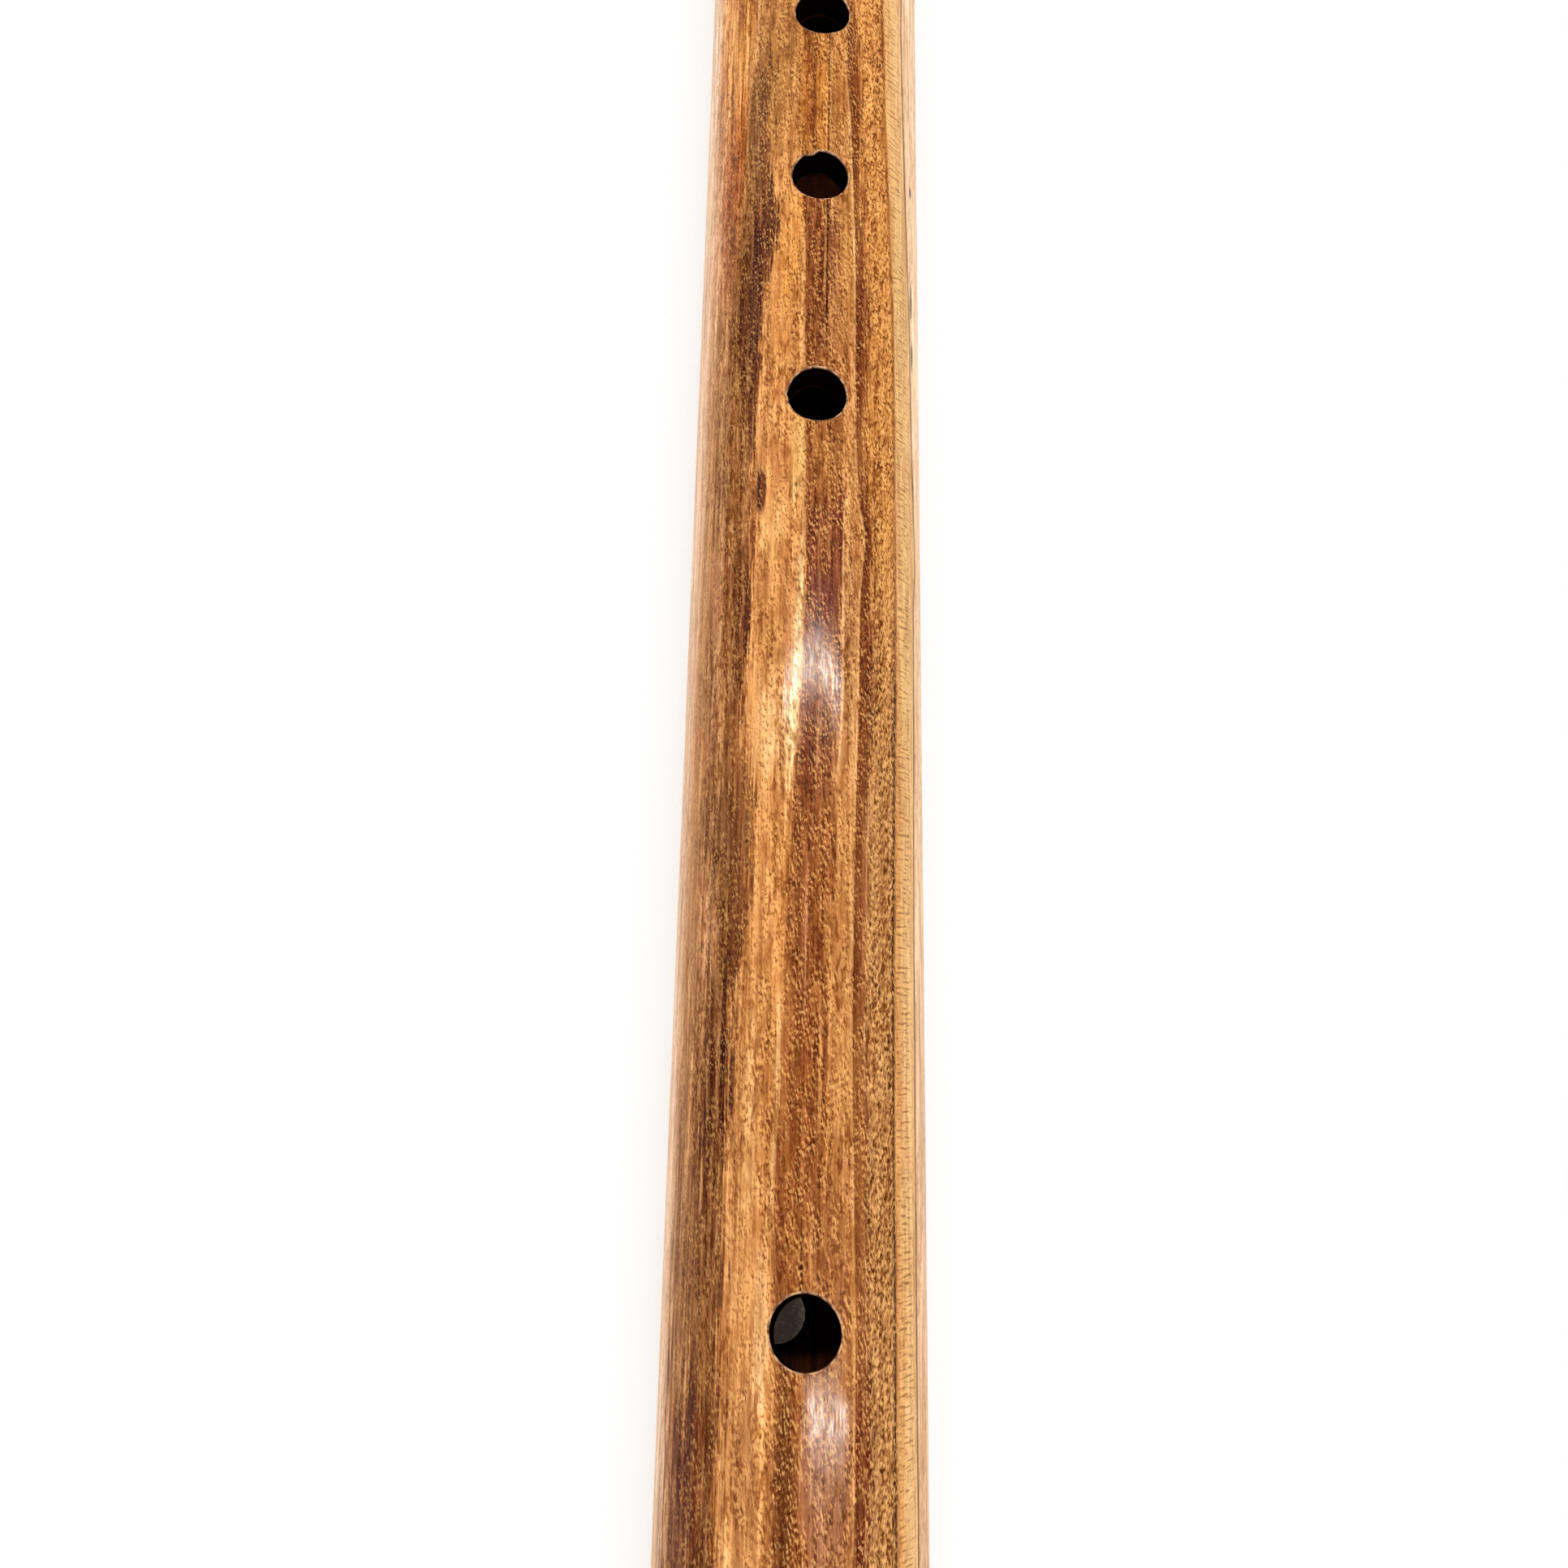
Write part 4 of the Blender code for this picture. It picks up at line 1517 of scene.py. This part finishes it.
@dataclass
class HalfShell:
    """One hollowed half of the split tube, with its drilled holes."""

    name: str
    side: Side
    drills: tuple[Drill, ...]
    turns: int = 72
    row_spacing: float = 0.006
    patch_half: float = 0.010
    patch_rows: int = 16
    short_span: float = 0.025
    patch_turn: float = math.radians(35.0)
    seam_gap: float = 0.00002
    rim_round: float = 0.0010
    rim_steps: int = 4
    rim_angle: float = 1.0
    end_depth: float = 0.010
    end_facing: float = 0.6
    edge_round: float = 0.00028
    edge_steps: int = 4
    edge_hold: float = 0.00012
    inner_round: float = 0.0006
    collar: float = 0.0016
    collar_flaw: float = 0.3
    wall_shares: tuple[float, ...] = (0.3, 0.6)

    def stations(self) -> list[float]:
        """Places of the rings along the tube: even, but close and centred round each hole."""
        stops = [0.0]
        for drill in sorted(self.drills, key=lambda d: d.station):
            stops += [drill.station - self.patch_half, drill.station + self.patch_half]
        stops.append(TUBE.length)
        found: list[float] = []
        for start, end in zip(stops, stops[1:]):
            short = end - start < self.short_span
            count = self.patch_rows if short else max(1, round((end - start) / self.row_spacing))
            found += [start + (end - start) * row / count for row in range(count)]
        return found + [TUBE.length]

    def turned_wall(self) -> bmesh.types.BMesh:
        """Spin the section of the wall through half a turn.

        Returns:
            The closed half tube, its rims still sharp.
        """
        stations = self.stations()
        rows = len(stations) - 1
        shape = bmesh.new()
        bmesh.ops.create_grid(shape, x_segments=rows, y_segments=1, size=0.5)
        for vert in shape.verts:
            station = stations[round((vert.co.x + 0.5) * rows)]
            radius = TUBE.outer(station) if vert.co.y > 0 else TUBE.bore(station)
            vert.co = Vector((station, radius, 0.0))
        bmesh.ops.spin(
            shape,
            geom=shape.verts[:] + shape.edges[:] + shape.faces[:],
            cent=(0.0, 0.0, 0.0),
            axis=(1.0, 0.0, 0.0),
            angle=math.pi,
            steps=self.turns,
        )
        bmesh.ops.remove_doubles(shape, verts=shape.verts, dist=WELD)
        if self.side is Side.THUMB:
            half_turn = Matrix.Rotation(math.pi, 3, "X")
            bmesh.ops.rotate(shape, verts=shape.verts, cent=(0.0, 0.0, 0.0), matrix=half_turn)
        for vert in shape.verts:
            if abs(vert.co.z) < HAIR:
                vert.co.z = self.side * self.seam_gap / 2
        bmesh.ops.recalc_face_normals(shape, faces=shape.faces)
        return shape

    def soften(self, shape: bmesh.types.BMesh) -> None:
        """Round the two end rims."""
        shape.normal_update()
        rims: list[bmesh.types.BMEdge] = []
        for edge in shape.edges:
            if len(edge.link_faces) != 2 or edge.calc_face_angle(0.0) < self.rim_angle:
                continue
            on_seam = all(abs(v.co.z) < self.seam_gap for v in edge.verts)
            at_end = all(min(v.co.x, TUBE.length - v.co.x) < HAIR for v in edge.verts)
            if at_end and not on_seam:
                rims.append(edge)
        bmesh.ops.bevel(
            shape,
            geom=rims,
            offset=self.rim_round,
            offset_type="OFFSET",
            segments=self.rim_steps,
            profile=0.5,
            affect="EDGES",
            material=-1,
        )

    def zones(self, shape: bmesh.types.BMesh) -> None:
        """Give each face its zone: outside, bore or sawn end."""
        shape.normal_update()
        for face in shape.faces:
            centre = face.calc_center_median()
            radius = math.hypot(centre.y, centre.z)
            middle = (TUBE.outer(centre.x) + TUBE.bore(centre.x)) / 2
            at_end = min(centre.x, TUBE.length - centre.x) < self.end_depth
            if at_end and abs(face.normal.x) > self.end_facing:
                face.material_index = Zone.END
            elif radius < middle:
                face.material_index = Zone.BORE
            else:
                face.material_index = Zone.SKIN

    def open_patch(self, shape: bmesh.types.BMesh, drill: Drill) -> tuple[list, list]:
        """Take the faces round a hole out of both skins.

        Args:
            shape: The half shell.
            drill: The hole.

        Returns:
            The loose edges left on the outside and on the bore.
        """
        middle = (TUBE.body_radius + TUBE.bore_radius) / 2
        doomed = []
        for face in shape.faces:
            centre = face.calc_center_median()
            turn = math.atan2(centre.y, self.side * centre.z)
            if abs(centre.x - drill.station) < self.patch_half and abs(turn) < self.patch_turn:
                doomed.append(face)
        bmesh.ops.delete(shape, geom=doomed, context="FACES")
        loose = [edge for edge in shape.edges if edge.is_boundary]
        outer = [e for e in loose if math.hypot(e.verts[0].co.y, e.verts[0].co.z) > middle]
        inner = [e for e in loose if math.hypot(e.verts[0].co.y, e.verts[0].co.z) <= middle]
        return outer, inner

    def hole_rings(self, radius: float) -> list[tuple[float, float, Zone, float]]:
        """The rings that make up a hole, from the skin to the bore, with a rounded edge on both sides.

        Args:
            radius: The hole's radius.

        Returns:
            For each ring its radius, the tube radius it lies on, its zone and its share of the flaws.
        """
        skin, bore = TUBE.body_radius, TUBE.bore_radius
        rings = [
            (radius + 2 * self.collar, skin, Zone.SKIN, 0.0),
            (radius + self.collar, skin, Zone.SKIN, self.collar_flaw),
            (radius + self.edge_round + self.edge_hold, skin, Zone.SKIN, 1.0),
        ]
        bends = [math.pi / 2 * step / self.edge_steps for step in range(self.edge_steps + 1)]
        for bend in bends:
            wider = self.edge_round * (1 - math.sin(bend))
            deeper = self.edge_round * (1 - math.cos(bend))
            rings.append((radius + wider, skin - deeper, Zone.EDGE if bend else Zone.SKIN, 1.0))
        for share in self.wall_shares:
            flaw = self.collar_flaw * (1 - share)
            rings.append((radius, skin - share * (skin - bore), Zone.BORE, flaw))
        for bend in bends:
            wider = self.inner_round * (1 - math.cos(bend))
            higher = self.inner_round * (1 - math.sin(bend))
            rings.append((radius + wider, bore + higher, Zone.BORE, 0.0))
        return rings

    def drill_hole(self, shape: bmesh.types.BMesh, drill: Drill) -> None:
        """Drill one hole through the wall, ring by ring.

        Args:
            shape: The half shell.
            drill: The hole.
        """
        outer, inner = self.open_patch(shape, drill)
        point, out, along, across = drill.frame(self.side)
        loop = outer
        for reach, surface, zone, flaw in self.hole_rings(drill.diameter / 2):
            made = bmesh.ops.extrude_edge_only(shape, edges=loop)["geom"]
            for face in made:
                if isinstance(face, bmesh.types.BMFace):
                    face.material_index = zone
            for vert in made:
                if not isinstance(vert, bmesh.types.BMVert):
                    continue
                offset = vert.co - point
                angle = math.atan2(offset.dot(across), offset.dot(along))
                wide = reach + flaw * sum(nick.reach(angle) for nick in drill.nicks)
                line = point + wide * (math.cos(angle) * along + math.sin(angle) * across)
                vert.co = self.on_tube(line, out, surface)
            loop = [e for e in made if isinstance(e, bmesh.types.BMEdge) and e.is_boundary]
        bridge = bmesh.ops.bridge_loops(shape, edges=loop + inner)
        for face in bridge["faces"]:
            face.material_index = Zone.BORE

    @staticmethod
    def on_tube(start: Vector, way: Vector, radius: float) -> Vector:
        """Where a line along the drill meets a cylinder about the tube's axis.

        Args:
            start: A point of the line.
            way: The line's outward direction.
            radius: The cylinder's radius.

        Returns:
            The outer meeting point.
        """
        square = way.y**2 + way.z**2
        half = start.y * way.y + start.z * way.z
        rest = start.y**2 + start.z**2 - radius**2
        reach = (-half + math.sqrt(max(half * half - square * rest, 0.0))) / square
        return start + reach * way

    def build(self, materials: Sequence[bpy.types.Material]) -> bpy.types.Object:
        """Model the shell and dress it.

        Args:
            materials: Materials in the order of Zone.

        Returns:
            The finished piece.
        """
        shape = self.turned_wall()
        self.soften(shape)
        self.zones(shape)
        for drill in self.drills:
            self.drill_hole(shape, drill)
            log.info("%s: drilled %s", self.name, drill.name)
        bmesh.ops.recalc_face_normals(shape, faces=shape.faces)
        bmesh.ops.transform(shape, matrix=TUBE.lay, verts=shape.verts)
        return finished(self.name, shape, materials)


@dataclass
class WaxMouthpiece:
    """Ring of beeswax moulded over the mouth rim."""

    name: str = "wax_ring"
    skirt_length: float = 0.0088
    # The skirt's thin edge, as height above the seat and distance from its end.
    skirt_edge: tuple[tuple[float, float], ...] = ((0.00035, 0.0), (0.00098, 0.0004), (0.00154, 0.0014))
    # Where it reaches the full radius, as distance below that and distance from its end.
    shoulder: tuple[tuple[float, float], ...] = ((0.0002, 0.0032), (0.0, 0.0048))
    seat_short: float = 0.0002
    seat_gap: float = 0.00015
    lip_height: float = 0.0090
    opening_radius: float = 0.0135
    turns: int = 128
    lip_steps: int = 28
    press_depth: float = 0.0007
    thumb_scale: float = 95.0
    finger_scale: float = 330.0
    finger_share: float = 0.18
    held_height: float = 0.0004
    seed: Vector = field(default_factory=lambda: Vector((3.1, 7.7, 1.9)))

    def outline(self) -> list[tuple[float, float]]:
        """Closed outline of the ring as radius and distance along the tube."""
        seat = TUBE.body_radius + self.seat_gap
        middle = (TUBE.wax_radius + self.opening_radius) / 2
        half = (TUBE.wax_radius - self.opening_radius) / 2
        end, face = self.skirt_length, -self.seat_gap
        skirt = [(seat + height, end - back) for height, back in self.skirt_edge]
        skirt += [(TUBE.wax_radius - below, end - back) for below, back in self.shoulder]
        bends = [math.pi * step / self.lip_steps for step in range(self.lip_steps + 1)]
        lip = [(middle + half * math.cos(b), face - self.lip_height * math.sin(b)) for b in bends]
        return skirt + lip + [(seat, face), (seat, end - self.seat_short)]

    def press(self, shape: bmesh.types.BMesh) -> None:
        """Push the outside of the wax in and out, as fingers and thumbs leave it.

        Args:
            shape: The turned ring.
        """
        seat = TUBE.body_radius + self.seat_gap
        shape.normal_update()
        for vert in shape.verts:
            radius = math.hypot(vert.co.y, vert.co.z)
            if vert.co.x > -self.seat_gap - HAIR and radius < seat + self.held_height:
                continue
            broad = noise.noise(vert.co * self.thumb_scale + self.seed)
            small = noise.noise(vert.co * self.finger_scale - self.seed)
            depth = 0.5 + 0.5 * broad + self.finger_share * small
            vert.co -= vert.normal * self.press_depth * depth

    def build(self, material: bpy.types.Material) -> bpy.types.Object:
        """Model the ring and dress it.

        Args:
            material: The wax.

        Returns:
            The finished piece.
        """
        shape = bmesh.new()
        corners = [shape.verts.new((x, r, 0.0)) for r, x in self.outline()]
        loop = [shape.edges.new(pair) for pair in zip(corners, corners[1:] + corners[:1])]
        bmesh.ops.spin(
            shape,
            geom=corners + loop,
            cent=(0.0, 0.0, 0.0),
            axis=(1.0, 0.0, 0.0),
            angle=math.tau,
            steps=self.turns,
            use_merge=True,
        )
        bmesh.ops.remove_doubles(shape, verts=shape.verts, dist=HAIR)
        bmesh.ops.recalc_face_normals(shape, faces=shape.faces)
        self.press(shape)
        bmesh.ops.transform(shape, matrix=TUBE.lay, verts=shape.verts)
        return finished(self.name, shape, [material])


def finished(
    name: str, shape: bmesh.types.BMesh, materials: Sequence[bpy.types.Material]
) -> bpy.types.Object:
    """Turn a modelled shape into a smooth-shaded piece of the scene.

    Args:
        name: The piece's name.
        shape: Its mesh, in scene coordinates, which is freed.
        materials: Its materials, in order of their slots.

    Returns:
        The new object.
    """
    mesh = bpy.data.meshes.new(name)
    shape.to_mesh(mesh)
    shape.free()
    for material in materials:
        mesh.materials.append(material)
    mesh.shade_smooth()
    mesh.set_sharp_from_angle(angle=SHARP_ANGLE)
    piece = bpy.data.objects.new(name, mesh)
    bpy.context.scene.collection.objects.link(piece)
    return piece


@dataclass
class Didgeridoo:
    """The whole instrument: two half shells and a wax mouthpiece."""

    upper_hole: float = 0.430
    hand_spacing: float = 0.147
    lower_spacings: tuple[float, float] = (0.044, 0.036)
    finger_diameter: float = 0.0100
    thumb_diameter: float = 0.0095
    thumb_behind: float = 0.004
    thumb_turn: float = math.radians(4.0)
    upper_lean: tuple[float, float] = (math.radians(10.5), math.radians(12.0))
    chip: Nick = Nick(88.0, 4.0, 0.0003)
    splinter: tuple[Nick, ...] = (Nick(18.0, 9.0, -0.0007), Nick(30.0, 5.0, -0.0003))

    def finger_drills(self) -> tuple[Drill, ...]:
        """The four finger holes, from the mouth to the bell."""
        first = self.upper_hole + self.hand_spacing
        second = first + self.lower_spacings[0]
        third = second + self.lower_spacings[1]
        size = self.finger_diameter
        return (
            Drill("upper_finger", self.upper_hole, size, *self.upper_lean),
            Drill("lower_finger_1", first, size, nicks=(self.chip,)),
            Drill("lower_finger_2", second, size, nicks=self.splinter),
            Drill("lower_finger_3", third, size),
        )

    def thumb_drill(self) -> Drill:
        """The thumb hole, on the far side and a little nearer the mouth than the upper finger hole."""
        station = self.upper_hole - self.thumb_behind
        return Drill("thumb", station, self.thumb_diameter, turn=self.thumb_turn)

    def build(self) -> None:
        """Model, dress and place every piece, and say what each stands for."""
        wood = DrawnWood(WoodFinish()).build()
        coats = [wood, BoreFinish().build(), EndGrainFinish().build(), BareEdgeFinish().build()]
        front = HalfShell("front_shell", Side.FINGER, self.finger_drills()).build(coats)
        self.place(front, "front_half_shell", "varnished_wood")
        back = HalfShell("back_shell", Side.THUMB, (self.thumb_drill(),)).build(coats)
        self.place(back, "back_half_shell", "varnished_wood")
        ring = WaxMouthpiece().build(WaxFinish().build())
        self.place(ring, "beeswax_mouthpiece", "beeswax")

    @staticmethod
    def place(piece: bpy.types.Object, node: str, slot: str) -> None:
        """Fix a piece to the one body and let it stand for its solid.

        Args:
            piece: The finished piece.
            node: The CAD node it replaces.
            slot: The record's material slot; not used.
        """
        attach(piece, "root")
        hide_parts(node)
        log.info("%s: %d faces, stands for %s", piece.name, len(piece.data.polygons), node)


def aimed(place: Vector, target: Vector, roll: float = 0.0) -> Matrix:
    """Stand at one point and look at another with the tube running up the picture.

    Args:
        place: Where to stand.
        target: What to look at.
        roll: Turn about the line of sight.

    Returns:
        The transform of a camera or lamp.
    """
    ahead = (target - place).normalized()
    right = ahead.cross(TUBE.lay.to_3x3() @ Vector((1.0, 0.0, 0.0))).normalized()
    right = Matrix.Rotation(roll, 3, -ahead) @ right
    turn = Matrix((right, right.cross(ahead), -ahead)).transposed()
    return Matrix.Translation(place) @ turn.to_4x4()


@dataclass(frozen=True)
class Lamp:
    """One oblong studio lamp, aimed at a point of the tube."""

    name: str
    place: tuple[float, float, float]
    aim: tuple[float, float, float]
    across: float
    along: float
    power: float
    colour: tuple[float, float, float] = WHITE[:3]

    def build(self) -> None:
        """Add the lamp to the scene."""
        light = bpy.data.lights.new(self.name, "AREA")
        light.shape = "RECTANGLE"
        light.size = self.across
        light.size_y = self.along
        light.energy = self.power
        light.color = self.colour
        lamp = bpy.data.objects.new(self.name, light)
        lamp.matrix_world = aimed(Vector(self.place), Vector(self.aim))
        bpy.context.scene.collection.objects.link(lamp)


@dataclass
class Studio:
    """Plain white floor, soft light and the camera above the finger holes."""

    floor_size: float = 14.0
    floor_white: Colour = (0.95, 0.95, 0.95, 1.0)
    # Colours of the painted shade the camera sees on the floor, under the tube and beside it.
    floor_shade: Colour = tone(48, 41, 35)
    floor_light_shade: Colour = tone(241, 219, 199)
    shade_reach: float = 0.08
    shade_samples: int = 16
    # How open the floor is under the tube, beside it and clear of it, as a share of the sky.
    shade_open: tuple[float, float, float] = (0.32, 0.40, 0.62)
    sky: float = 0.36
    lens_mm: float = 28.0
    sensor_mm: float = 36.0
    near_clip: float = 0.01
    eye: tuple[float, float, float] = (0.4613, 0.01514, 0.20296)
    target: tuple[float, float, float] = (0.5086, 0.00438, 0.0205)
    roll: float = math.radians(1.13)
    lamps: tuple[Lamp, ...] = (
        Lamp("lamp_far", (0.600, -0.140, 1.87), (-0.066, 0.0, 0.04), 1.85, 0.052, 23.5, WARM),
        Lamp("lamp_near", (-0.632, -0.780, 1.78), (-0.178, 0.0, 0.04), 1.20, 0.058, 13.0, WARM),
        Lamp("fill_left", (0.0, 2.3, 2.4), (0.0, 0.0, 0.03), 3.2, 11.0, 53.0),
        Lamp("fill_right", (0.0, -2.3, 2.4), (0.0, 0.0, 0.03), 3.2, 11.0, 20.0),
    )

    def floor(self) -> None:
        """Lay the floor: the camera sees white with a painted soft shade by the tube, set by how open the
        floor is there; all else sees white paper.
        """
        shape = bmesh.new()
        bmesh.ops.create_grid(shape, x_segments=1, y_segments=1, size=self.floor_size / 2)
        mesh = bpy.data.meshes.new("floor")
        shape.to_mesh(mesh)
        shape.free()
        graph = Graph(bpy.data.materials.new("white_paper"))
        graph.tree.nodes.remove(graph.shader)
        paper = graph.add("ShaderNodeBsdfDiffuse")
        paper.inputs["Color"].default_value = self.floor_white
        opening = graph.add("ShaderNodeAmbientOcclusion", samples=self.shade_samples)
        opening.inputs["Distance"].default_value = self.shade_reach
        under, beside_tube, clear = self.shade_open
        open_share = opening.outputs["AO"]
        # Painted shade for the camera: dark under the tube, pale and warm beside it, white clear of it.
        shade = graph.blend(graph.step(open_share, under, beside_tube), self.floor_shade, self.floor_light_shade)
        shade = graph.blend(graph.step(open_share, beside_tube, clear), shade, WHITE)
        glow = graph.add("ShaderNodeEmission")
        graph.wire(shade, glow.inputs["Color"])
        rays = graph.add("ShaderNodeLightPath")
        both = graph.add("ShaderNodeMixShader")
        graph.wire(rays.outputs["Is Camera Ray"], both.inputs[0])
        graph.wire(paper.outputs["BSDF"], both.inputs[1])
        graph.wire(glow.outputs["Emission"], both.inputs[2])
        graph.wire(both.outputs["Shader"], graph.output.inputs["Surface"])
        mesh.materials.append(graph.material)
        floor = bpy.data.objects.new("floor", mesh)
        bpy.context.scene.collection.objects.link(floor)
        floor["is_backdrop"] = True

    def world(self) -> None:
        """Light the scene softly from all round, with a white backdrop for the camera."""
        world = bpy.data.worlds.new("studio")
        world.use_nodes = True
        tree = world.node_tree
        tree.nodes.clear()
        output = tree.nodes.new("ShaderNodeOutputWorld")
        sky = tree.nodes.new("ShaderNodeBackground")
        rays = tree.nodes.new("ShaderNodeLightPath")
        strength = tree.nodes.new("ShaderNodeMapRange")
        strength.inputs["To Min"].default_value = self.sky
        tree.links.new(rays.outputs["Is Camera Ray"], strength.inputs["Value"])
        tree.links.new(strength.outputs["Result"], sky.inputs["Strength"])
        tree.links.new(sky.outputs["Background"], output.inputs["Surface"])
        sky.inputs["Color"].default_value = WHITE
        bpy.context.scene.world = world

    def camera(self) -> None:
        """Set the camera above the tube, looking towards the bell, as the photograph was taken."""
        lens = bpy.data.cameras.new("camera")
        lens.lens = self.lens_mm
        lens.sensor_width = self.sensor_mm
        lens.clip_start = self.near_clip
        camera = bpy.data.objects.new("camera", lens)
        eye, target = (TUBE.lay @ Vector(point) for point in (self.eye, self.target))
        camera.matrix_world = aimed(eye, target, self.roll)
        bpy.context.scene.collection.objects.link(camera)
        bpy.context.scene.camera = camera

    def build(self) -> None:
        """Set up floor, light and camera."""
        self.floor()
        self.world()
        for lamp in self.lamps:
            lamp.build()
        self.camera()
        bpy.context.scene.view_settings.view_transform = "Standard"


def write_sizes() -> None:
    boxes = {"cad": cad_box, "visual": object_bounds()}
    plain = {name: [[float(n) for n in corner] for corner in box] for name, box in boxes.items()}


def main() -> None:
    """Build the studio and the instrument."""
    logging.basicConfig(level=logging.INFO, format="%(name)s %(message)s")
    Studio().build()
    Didgeridoo().build()
    write_sizes()


if __name__ == "__main__":
    main()
